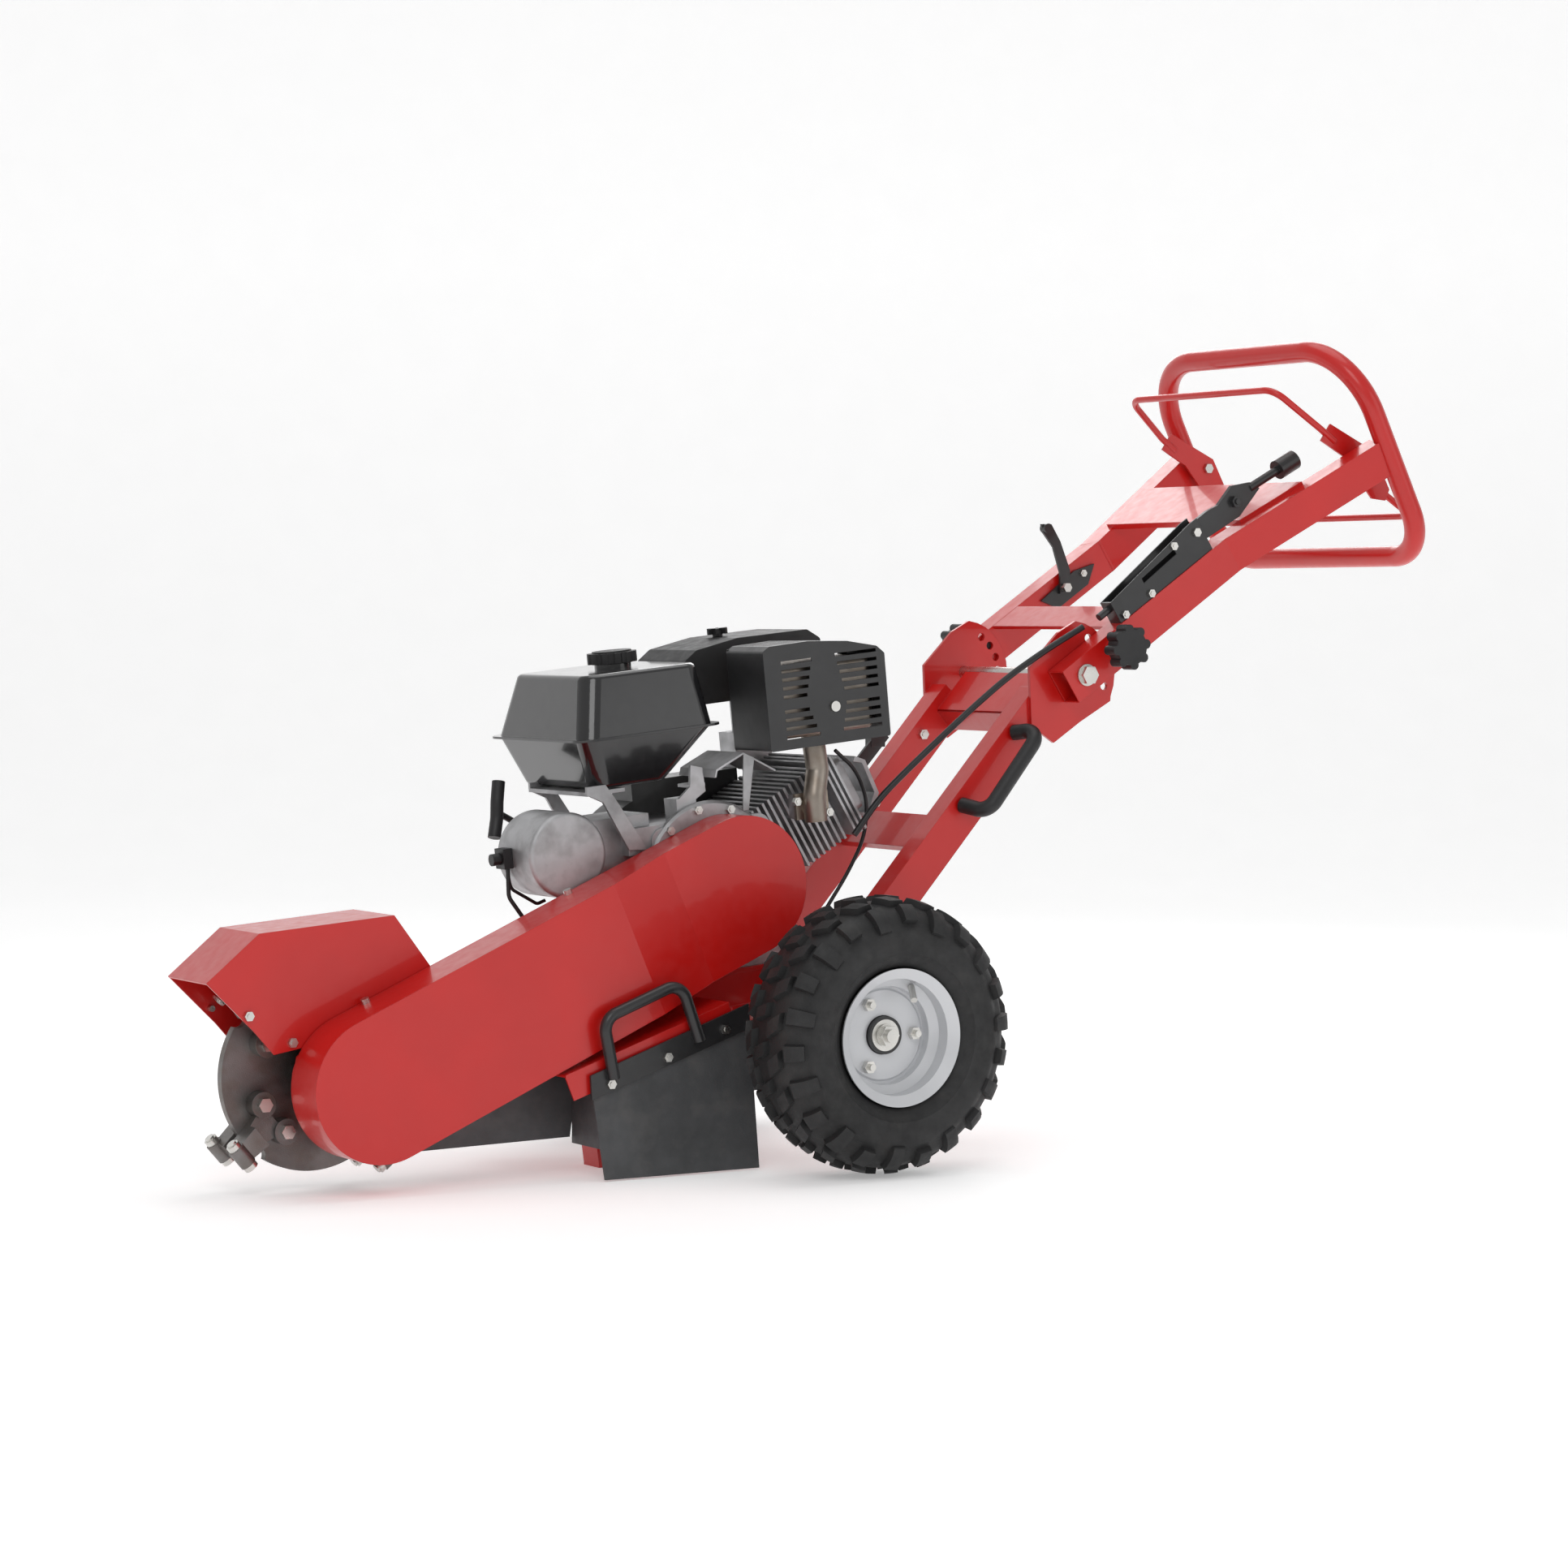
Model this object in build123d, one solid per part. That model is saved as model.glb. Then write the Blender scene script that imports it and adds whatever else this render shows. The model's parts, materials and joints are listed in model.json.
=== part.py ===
from build123d import *
import math
import os

# ---------------------------------------------------------------- driving dimensions (mm)
# working frame while modelling: +X to the rear (handlebar), +Y to the machine's right, +Z up,
# origin on the ground under the middle of the axle; every node is shifted at the end so that
# the finished row has its origin at the centre of the bottom of its bounding box

# wheels and axle
TYRE_R = 208.7
TYRE_W = 160.0
TYRE_WALL = 9.0
TRACK_HALF = 367.0          # centre plane to the outer rim flange
RIM_FLANGE_R = 102.0
RIM_SEAT_R = 89.0
RIM_WELL_R = 76.0
RIM_T = 3.0
RIM_SET_IN = 13.0           # tyre sidewall stands this far outside the rim flange
BEAD_GAP = 1.3              # bead to rim seat
RIM_DISC_IN = 53.0          # wheel disc, inboard of the outer flange
HUB_R = 28.0
STUD_PCD = 106.0
STUD_COUNT = 3
AXLE_R = 15.0
SPINDLE_R = 10.0
BEARING_CLEAR = 0.05
WHEEL_BEARING_R = 23.5
WHEEL_BEARING_W = 14.0

# cutter
CUT_X = -780.0
CUT_Z = 167.0
DISC_R = 140.0
DISC_T = 14.0
TOOTH_PITCH_R = 163.0
TOOTH_R = 7.0
TOOTH_LEN = 52.0
TOOTH_Y = 39.0
TOOTH_COUNT = 4
TOOTH_FIRST = 221.0
BOSS_R = 92.0
BOSS_HALF_ANGLE = 17.0
CUT_SHAFT_R = 15.0
CUT_BEARING_R = 31.0
CUT_BEARING_W = 16.0

# boom, hood and belt drive
BOOM_Y = 66.0
BOOM_T = 6.0
HOOD_T = 3.0
COVER_T = 2.5
COVER_OUT = 154.0
COVER_IN = 74.0
COVER_STEP = 20.0           # the outer face steps in by this much over its upper end
COVER_CREASE = (453.0, 557.0)   # where the step starts and ends along the cover's axis
COVER_LOW = (-735.0, 155.0, 106.0)
COVER_UP = (-127.0, 422.0, 106.0)
BELT_Y = -108.0
BELT_PITCH_Y = 17.0
BELT_TOP_W = 13.0
BELT_H = 8.0
DRIVEN_R = 42.0
DRIVE_R = 60.0
BELT_GAP = 0.35             # belt flank to groove flank, so the drawn pieces stay apart

# engine, laid out in its own tilted frame with its origin on the crankshaft
CRANK_X = -130.0
CRANK_Z = 424.0
ENGINE_PITCH = 6.0
CRANK_R = 12.7
SHAFT_HEIGHT = 133.0
CYL_ANGLE = 25.0
FIN_PITCH = 11.0
FIN_T = 4.5
FIN_COUNT = 12
DECK_T = 7.0
TANK = (-224.0, 4.0, -91.0, 197.0)      # x0, x1, y0, y1 of the body at its seam
TANK_SEAM_Z = 242.0
TANK_TOP_Z = 335.0
TANK_BOT_Z = 166.0
TANK_LIP = 10.0
TANK_WALL = 2.0
CAP_R = 38.0
GUARD = (70.0, 284.0, -130.0, -22.0)    # x0, x1, y0, y1 of the muffler guard
GUARD_BOT_Z = 191.0
GUARD_T = 1.5

# handle frame
PIVOT_X = 452.0
PIVOT_Z = 734.0
TUBE_H = 58.0
TUBE_W = 40.0
TUBE_WALL = 2.5
LOW_ANGLE = 48.3
QUAD_IN = 146.0
QUAD_T = 6.0
GRAB_R = 12.0
GRAB_REACH = 48.0
QUAD_HOLES = (60.0, 41.0, 22.0, 3.0, -16.0)
QUAD_HOLE_R = 66.0
QUAD_R = 84.0
LOCK_ANGLE = 41.0
LOCK_PIN_R = 6.0
BOSS_H = 26.0
PIVOT_R = 10.0
UP_ANGLE = 33.5
KINK = (738.0, 173.5, 924.0)
TUBE_END = (977.0, 248.0, 1073.0)
RING_TILT = 26.4
RING_X = 1000.0
RING_Z = 1075.0
RING_R = 17.0
RING_WALL = 2.5
RING_HALF = 265.0
RING_UP = 197.0
RING_DOWN = 170.0
RING_TOP_BEND = 115.0
RING_LOW_BEND = 80.0
BAIL_R = 5.5
BRAKE_CABLE_R = 5.0
CLUTCH_CABLE_R = 3.0
ROCKER_Y = 212.0
ROCKER_T = 4.0
BAIL_PIVOT = (992.0, 1076.0)

GAP = 0.3                   # assembly gap between pieces that only pass each other

NODES = {}
FASTENERS = {"chassis": [], "engine": [], "handle": []}


# ---------------------------------------------------------------- helpers
def add(name, *shapes):
    """Store the solids of one node."""
    solids = []
    for shape in shapes:
        solids += list(shape.solids())
    NODES[name] = Compound(solids) if len(solids) > 1 else solids[0]


def fuse(*shapes):
    """Join shapes into one."""
    joined = shapes[0]
    for shape in shapes[1:]:
        joined = joined + shape
    return joined


def block(x0, x1, y0, y1, z0, z1):
    """Box between two corners."""
    return Pos((x0 + x1) / 2, (y0 + y1) / 2, (z0 + z1) / 2) * Box(x1 - x0, y1 - y0, z1 - z0)


def face_xz(points, y):
    """Polygon face in the plane Y = y."""
    return make_face(Polyline(*[(px, y, pz) for px, pz in points], close=True))


def prism(points, y0, y1, radius=0.0):
    """Polygon in X-Z extruded from y0 to y1, with rounded corners on request."""
    solid = extrude(face_xz(points, y0), amount=y1 - y0, dir=(0, 1, 0))
    if radius > 0:
        solid = fillet(solid.edges().filter_by(Axis.Y), radius)
    return solid


def cyl_y(cx, cz, radius, y0, y1):
    """Cylinder along Y."""
    plane = Plane(origin=(cx, y0, cz), x_dir=(1, 0, 0), z_dir=(0, 1, 0))
    return extrude(plane * Circle(radius), amount=y1 - y0)


def tube_y(cx, cz, r_out, r_in, y0, y1):
    """Hollow cylinder along Y."""
    return cyl_y(cx, cz, r_out, y0, y1) - cyl_y(cx, cz, r_in, y0 - 1, y1 + 1)


def cyl_between(p0, p1, radius):
    """Cylinder between two points."""
    start, end = Vector(*p0), Vector(*p1)
    along = end - start
    return extrude(Plane(origin=start, z_dir=along.normalized()) * Circle(radius), amount=along.length)


def hex_y(cx, cz, across, y0, y1):
    """Hexagonal prism along Y."""
    plane = Plane(origin=(cx, y0, cz), x_dir=(1, 0, 0), z_dir=(0, 1, 0))
    return extrude(plane * RegularPolygon(across / 2, 6, major_radius=False), amount=y1 - y0)


def bolt_y(cx, cz, across, y_face, outward, height=6.0):
    """Bolt head standing on a face at y_face, pointing along outward (+1 or -1)."""
    y_end = y_face + outward * height
    head = hex_y(cx, cz, across, min(y_face, y_end), max(y_face, y_end))
    y_cap = y_end + outward * 1.5
    return fuse(head, cyl_y(cx, cz, across * 0.3, min(y_end, y_cap), max(y_end, y_cap)))


def rod(points, radius, bends):
    """Round rod along a polyline with the given bend radius or radii."""
    path = FilletPolyline(*points, radius=bends)
    plane = Plane(origin=path @ 0, z_dir=path % 0)
    return sweep(plane * Circle(radius), path=path)


def pipe(points, radius, wall, bends):
    """Open-ended round tube along a bent polyline."""
    return rod(points, radius, bends) - rod(points, radius - wall, bends)


def beam(p0, p1, width_y, height, wall=0.0):
    """Rectangular tube between two points, its width lying across the machine."""
    start, end = Vector(*p0), Vector(*p1)
    along = end - start
    axis = along.normalized()
    across = Vector(0, 1, 0) - axis * axis.Y
    plane = Plane(origin=start, x_dir=across.normalized(), z_dir=axis)
    solid = extrude(plane * Rectangle(width_y, height), amount=along.length)
    if wall > 0:
        inner = plane * Rectangle(width_y - 2 * wall, height - 2 * wall)
        solid = solid - extrude(inner, amount=along.length)
    return solid


def tangent_outline(c0, c1, shrink=0.0):
    """Points and arc middles of the outline round two circles given as (x, z, r)."""
    x0, z0, r0 = c0[0], c0[1], c0[2] - shrink
    x1, z1, r1 = c1[0], c1[1], c1[2] - shrink
    dist = math.hypot(x1 - x0, z1 - z0)
    axis = math.atan2(z1 - z0, x1 - x0)
    spread = math.acos((r0 - r1) / dist)

    def on(cx, cz, r, a):
        return cx + r * math.cos(a), cz + r * math.sin(a)

    return {
        "a0": on(x0, z0, r0, axis + spread),
        "m0": on(x0, z0, r0, axis + math.pi),
        "b0": on(x0, z0, r0, axis - spread),
        "a1": on(x1, z1, r1, axis + spread),
        "m1": on(x1, z1, r1, axis),
        "b1": on(x1, z1, r1, axis - spread),
    }


def oblong(c0, c1, y0, y1, shrink=0.0):
    """Solid with the outline of a belt round two circles."""
    p = {k: (v[0], y0, v[1]) for k, v in tangent_outline(c0, c1, shrink).items()}
    edges = [
        ThreePointArc(p["a0"], p["m0"], p["b0"]),
        Line(p["b0"], p["b1"]),
        ThreePointArc(p["b1"], p["m1"], p["a1"]),
        Line(p["a1"], p["a0"]),
    ]
    return extrude(make_face(Wire(edges)), amount=y1 - y0, dir=(0, 1, 0))


def revolve_y(points, cx, cz):
    """Turn a closed (radius, y) profile about an axis along Y through (cx, cz)."""
    face = make_face(Polyline(*[(cx + r, y, cz) for r, y in points], close=True))
    return revolve(face, axis=Axis((cx, 0, cz), (0, 1, 0)), revolution_arc=360)


def mirror_y(shape):
    """Mirror image across the machine's centre plane."""
    return mirror(shape, about=Plane.XZ)


def both_sides(shape):
    """The shape and its mirror image."""
    return [shape, mirror_y(shape)]


def polar(cx, cz, radius, degrees):
    """Point on a circle in the X-Z plane."""
    a = math.radians(degrees)
    return cx + radius * math.cos(a), cz + radius * math.sin(a)


ENGINE = Location((CRANK_X, 0, CRANK_Z), (0, -ENGINE_PITCH, 0))


def engine_to_world(x, z):
    """Engine-frame point to working-frame X and Z."""
    a = math.radians(ENGINE_PITCH)
    return CRANK_X + x * math.cos(a) - z * math.sin(a), CRANK_Z + x * math.sin(a) + z * math.cos(a)


# ---------------------------------------------------------------- wheels
def wheel_side():
    """All turning pieces of the left wheel, on the -Y side."""
    flange = -TRACK_HALF
    mid = flange + TYRE_W / 2 - RIM_SET_IN
    half = TYRE_W / 2
    far = 2 * mid - flange
    outer = [
        (RIM_SEAT_R + BEAD_GAP, flange + 14.5), (RIM_FLANGE_R + 2, flange + 3.3),
        (118, mid - half + 6), (150, mid - half),
        (182, mid - half + 6), (TYRE_R - 8, mid - half + 14), (TYRE_R, mid - half + 30),
        (TYRE_R, mid + half - 30), (TYRE_R - 8, mid + half - 14), (182, mid + half - 6),
        (150, mid + half), (118, mid + half - 6), (RIM_FLANGE_R + 2, far - 3.3),
        (RIM_SEAT_R + BEAD_GAP, far - 14.5),
    ]
    w = TYRE_WALL
    inner = [
        (RIM_SEAT_R + BEAD_GAP, far - 29), (116, mid + half - 6 - w), (150, mid + half - w),
        (178, mid + half - 6 - w), (TYRE_R - 16, mid + half - 32), (TYRE_R - 16, mid - half + 32),
        (178, mid - half + 6 + w), (150, mid - half + w), (116, mid - half + 6 + w),
        (RIM_SEAT_R + BEAD_GAP, flange + 29),
    ]
    tyre = revolve_y(outer + inner, 0, TYRE_R)
    disc = flange + RIM_DISC_IN
    t = RIM_T
    rim = revolve_y([
        (RIM_FLANGE_R, flange), (RIM_FLANGE_R, flange + t), (RIM_SEAT_R + 1, flange + 13),
        (RIM_SEAT_R, flange + 34), (RIM_WELL_R, flange + 40), (RIM_WELL_R, far - 40),
        (RIM_SEAT_R, far - 34), (RIM_SEAT_R + 1, far - 13), (RIM_FLANGE_R, far - t),
        (RIM_FLANGE_R, far), (RIM_SEAT_R - t, far - 10), (RIM_SEAT_R - t, far - 33),
        (RIM_WELL_R - t, far - 41), (RIM_WELL_R - t, disc + 6), (70, disc + 6), (67, disc + 4),
        (HUB_R + 1, disc + 4), (HUB_R + 1, disc), (66, disc), (69, disc + 2),
        (RIM_WELL_R - t, disc + 2), (RIM_WELL_R - t, flange + 41), (RIM_SEAT_R - t, flange + 33),
        (RIM_SEAT_R - t, flange + 10),
    ], 0, TYRE_R)
    hub = revolve_y([
        (WHEEL_BEARING_R, disc - 8), (HUB_R, disc - 8), (HUB_R, disc + 4), (65, disc + 4),
        (65, disc + 10), (HUB_R + 4, disc + 10), (HUB_R + 4, disc + 70), (WHEEL_BEARING_R, disc + 70),
    ], 0, TYRE_R)
    inner_r = SPINDLE_R + BEARING_CLEAR
    bearings = [
        tube_y(0, TYRE_R, WHEEL_BEARING_R, inner_r, disc - 4, disc - 4 + WHEEL_BEARING_W),
        tube_y(0, TYRE_R, WHEEL_BEARING_R, inner_r, disc + 52, disc + 52 + WHEEL_BEARING_W),
    ]
    seals = revolve_y([
        (SPINDLE_R + 4, disc - 8), (WHEEL_BEARING_R, disc - 8), (WHEEL_BEARING_R, disc - 4),
        (SPINDLE_R + 4, disc - 4),
    ], 0, TYRE_R)
    studs = []
    for k in range(STUD_COUNT):
        sx, sz = polar(0, TYRE_R, STUD_PCD / 2, 360 * k / STUD_COUNT)
        rim = rim - cyl_y(sx, sz, 5, disc - 5, disc + 10)
        hub = hub - cyl_y(sx, sz, 5, disc, disc + 15)
        shank = cyl_y(sx, sz, 5, disc - 16, disc + 10)
        studs.append(fuse(shank, hex_y(sx, sz, 17, disc - 9, disc)))
    vx, vz = polar(0, TYRE_R, RIM_WELL_R + 4, 62)
    ux, uz = polar(0, TYRE_R, RIM_WELL_R - 16, 62)
    stem = cyl_between((vx, flange + 34, vz), (ux, flange + 12, uz), 5)
    stem = stem - revolve_y([
        (RIM_SEAT_R - t, flange + 10), (RIM_SEAT_R - t, flange + 33), (RIM_WELL_R - t, flange + 41),
        (RIM_WELL_R + 30, flange + 41), (RIM_WELL_R + 30, flange + 10),
    ], 0, TYRE_R)
    return tyre, rim, hub, bearings, seals, studs, stem


def build_wheels():
    """Both wheels."""
    tyre, rim, hub, bearings, seals, studs, stem = wheel_side()
    add("tyre_left", tyre)
    add("rim_left", rim)
    add("hub_left", hub)
    add("hub_bearings_left", *bearings, seals)
    add("wheel_fasteners_left", *studs, stem)
    add("tyre_right", mirror_y(tyre))
    add("rim_right", mirror_y(rim))
    add("hub_right", mirror_y(hub))
    add("hub_bearings_right", *[mirror_y(b) for b in bearings], mirror_y(seals))
    add("wheel_fasteners_right", *[mirror_y(s) for s in studs], mirror_y(stem))


def build_axle():
    """Dead axle with its end nuts."""
    disc = TRACK_HALF - RIM_DISC_IN
    inner_end = disc - 70 - 0.5
    shaft = fuse(
        cyl_y(0, TYRE_R, AXLE_R, -inner_end, inner_end),
        cyl_y(0, TYRE_R, SPINDLE_R, -(disc + 28), disc + 28),
    )
    add("axle", shaft)
    nuts = []
    for s in (-1, 1):
        a, b = s * (disc + 8.4), s * (disc + 11)
        washer = tube_y(0, TYRE_R, 17, SPINDLE_R, min(a, b), max(a, b))
        c = s * (disc + 21)
        nut = hex_y(0, TYRE_R, 28, min(b, c), max(b, c)) - cyl_y(0, TYRE_R, SPINDLE_R, min(b, c), max(b, c))
        nuts.append(fuse(washer, nut))
    FASTENERS["chassis"] += nuts


# ---------------------------------------------------------------- chassis
def build_main_frame():
    """Welded boom: two side plates, cross webs, cross beam and axle saddles."""
    top0 = engine_to_world(-185, -SHAFT_HEIGHT - DECK_T)
    top1 = engine_to_world(150, -SHAFT_HEIGHT - DECK_T)
    side = [
        (CUT_X - 55, 160), (CUT_X - 48, 200), (CUT_X - 14, 224), (-600, 246), (-400, 254), top0, top1,
        (top1[0], 250), (40, 250), (32, 182), (-32, 182), (-40, 246), (-330, 205), (-600, 165),
        (-700, 128), (CUT_X, 112), (CUT_X - 42, 128),
    ]
    plate = prism(side, BOOM_Y - BOOM_T, BOOM_Y) - cyl_y(0, TYRE_R, AXLE_R, 0, 200)
    plate = plate - cyl_y(CUT_X, CUT_Z, CUT_BEARING_R + 2, 0, 200)
    inner = BOOM_Y - BOOM_T
    top = prism([(-590, 241.6), (-590, 246.6), (-400, 254), top0, top1, (top1[0], top1[1] - 5),
                 (top0[0], top0[1] - 5), (-400, 249)], -inner, inner)
    bottom = prism([(-590, 166.5), (-330, 205), (-44, 245.4), (-44, 250.4), (-330, 210), (-590, 171.5)],
                   -inner, inner)
    nose = block(-592, -587, -inner, inner, 168, 244)
    beam_y = QUAD_IN
    cross = block(-26, 36, -beam_y, beam_y, 250, 288)
    saddles = [
        prism([(-30, 184), (30, 184), (36, 250), (-26, 250)], s * 126 - 20, s * 126 + 20)
        - cyl_y(0, TYRE_R, AXLE_R, s * 126 - 30, s * 126 + 30)
        for s in (-1, 1)
    ]
    frame = fuse(*both_sides(plate), top, bottom, nose, cross, *saddles)
    frame = frame - cyl_y(0, TYRE_R, AXLE_R, -400, 400)
    housings = [tube_y(CUT_X, CUT_Z, 44, CUT_BEARING_R, *sorted((s * 36, s * (BOOM_Y - BOOM_T)))) for s in (-1, 1)]
    strap = prism([(-345, 203.2), (-345, 196), (-318, 4), (-318, 0), (-262, 0), (-262, 6), (-312, 6),
                   (-333, 150), (-318, 207.2)], -24, 24)
    add("main_frame", fuse(frame, strap, *deck_parts(), *housings))


def deck_parts():
    """Engine plate and the two sloping side decks with their skirts."""
    plate = ENGINE * block(-185, 150, -BOOM_Y - 3, 105, -SHAFT_HEIGHT - DECK_T, -SHAFT_HEIGHT)
    a, b = (-447.0, 160.0), (-172.0, 253.0)
    wing = prism([a, b, (b[0], b[1] - 4), (a[0], a[1] - 4)], BOOM_Y, 160.0)
    skirt = prism([(a[0], a[1] - 4), (b[0], b[1] - 4), (b[0] + 14, b[1] - 38), (a[0] + 14, a[1] - 38)],
                  157.0, 160.0)
    return [plate, *both_sides(fuse(wing, skirt))]


def build_flaps():
    """Bolted rubber flap with its bar and lift handle, and the two inner curtains."""
    y = -160.0
    bar = prism([(-410, 158), (-408, 122), (-140, 213), (-143, 250)], y - 8, y - 4)
    for bx, bz in FLAP_BOLTS:
        bar = bar - cyl_y(bx, bz, 4.5, y - 9, y)
    loop = rod([(-374, y - 13, 152), (-392, y - 13, 240), (-262, y - 13, 288), (-230, y - 13, 200)],
               9.0, [26, 26])
    feet = [cyl_y(-376, 162, 9, y - 14, y - 8), cyl_y(-234, 211, 9, y - 14, y - 8)]
    add("flap_bar", fuse(bar, loop, *feet))
    flap = prism([(-408, 150), (-384, 3), (-122, 3), (-141, 241)], y - 3.7, y - 0.3)
    for bx, bz in FLAP_BOLTS:
        flap = flap - cyl_y(bx, bz, 4.8, y - 9, y)
    bolts = [fuse(bolt_y(bx, bz, 13, y - 8, -1, 5), cyl_y(bx, bz, 4.2, y - 8, y - 0.2)) for bx, bz in FLAP_BOLTS]
    FASTENERS["chassis"] += bolts
    side = prism([(-700, 118), (-648, 52), (-392, 57), (-374, 176), (-446, 152), (-560, 158)], -BOOM_Y - 3.3, -BOOM_Y - 0.3)
    cross = block(-389, -385, -156.5, -BOOM_Y - 4, 48, 172)
    add("rubber_flaps", flap, side, cross)


FLAP_BOLTS = ((-377.0, 144.0), (-282.0, 178.0), (-184.0, 214.0))


def build_hood():
    """Bent sheet chip hood over the cutter."""
    tip, front, rear, back = (-969, 311), (-888, 378), (-677, 396), (-618, 318)
    side = [tip, front, rear, back, (-596, 250), (-640, 243.5), (-770, 226.5), (-819, 213), (-866, 205), (-897, 240)]
    outer = prism(side, BOOM_Y, BOOM_Y + HOOD_T)
    skin = []
    for p, q in ((tip, front), (front, rear), (rear, back), (back, (-596, 250))):
        length = math.hypot(q[0] - p[0], q[1] - p[1])
        nx, nz = (q[1] - p[1]) / length, -(q[0] - p[0]) / length
        skin.append(prism([p, q, (q[0] + nx * HOOD_T, q[1] + nz * HOOD_T), (p[0] + nx * HOOD_T, p[1] + nz * HOOD_T)],
                          -BOOM_Y - HOOD_T, BOOM_Y + HOOD_T))
    hood = fuse(*both_sides(outer), *skin)
    for bx, bz in HOOD_BOLTS:
        hood = hood - cyl_y(bx, bz, 4.5, -100, 100)
    add("chip_hood", hood)
    bolts = []
    for bx, bz in HOOD_BOLTS:
        for s in (-1, 1):
            face = s * (BOOM_Y + HOOD_T)
            a, b = sorted((face, s * (BOOM_Y - 8)))
            bolts.append(fuse(bolt_y(bx, bz, 13, face, s, 5), cyl_y(bx, bz, 4.4, a, b)))
    FASTENERS["chassis"] += bolts


HOOD_BOLTS = ((-838.0, 221.0), (-905.0, 262.0))


def step_cut(y_face):
    """Block that sets a cover face back over its upper end, between two creases across its axis."""
    a = math.atan2(COVER_UP[1] - COVER_LOW[1], COVER_UP[0] - COVER_LOW[0])
    plane = Plane(origin=(COVER_LOW[0], 0, COVER_LOW[1]), x_dir=(math.cos(a), 0, math.sin(a)),
                  z_dir=(-math.sin(a), 0, math.cos(a)))
    s0, s1 = COVER_CREASE
    far, out = s1 + 400, y_face - 50
    pts = [(s0, y_face), (s1, y_face + COVER_STEP), (far, y_face + COVER_STEP), (far, out), (s0, out)]
    return extrude(plane * make_face(Polyline(*pts, close=True)), amount=300, both=True)


def build_cover():
    """Belt cover and the plate behind it."""
    shell = oblong(COVER_LOW, COVER_UP, -COVER_OUT, -COVER_IN) - step_cut(-COVER_OUT)
    hollow = oblong(COVER_LOW, COVER_UP, -COVER_OUT + COVER_T, -COVER_IN + 1, COVER_T)
    hollow = hollow - step_cut(-COVER_OUT + COVER_T)
    add("belt_cover", shell - hollow)
    back = oblong(COVER_LOW, COVER_UP, -COVER_IN + 0.3, -COVER_IN + 3.3, 0.0)
    back = back - cyl_y(CUT_X, CUT_Z, 36, -100, 0) - cyl_y(CRANK_X, CRANK_Z, 34, -100, 0)
    rails = []
    for px, pz in ((-690, 205), (-560, 215), (-420, 225)):
        rails.append(cyl_y(px, pz, 12, -COVER_IN + 3.3, -BOOM_Y - 0.0))
    add("cover_backplate", fuse(back, *rails))
    p = tangent_outline(COVER_LOW, COVER_UP)
    heads = []
    for t in (0.08, 0.62):
        hx = p["a0"][0] + (p["a1"][0] - p["a0"][0]) * t
        hz = p["a0"][1] + (p["a1"][1] - p["a0"][1]) * t
        nx, nz = p["a0"][0] - COVER_LOW[0], p["a0"][1] - COVER_LOW[1]
        k = 1 / math.hypot(nx, nz)
        heads.append(cyl_between((hx, -COVER_IN - 9, hz), (hx + nx * k * 7, -COVER_IN - 9, hz + nz * k * 7), 6.5))
    FASTENERS["chassis"] += heads


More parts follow.
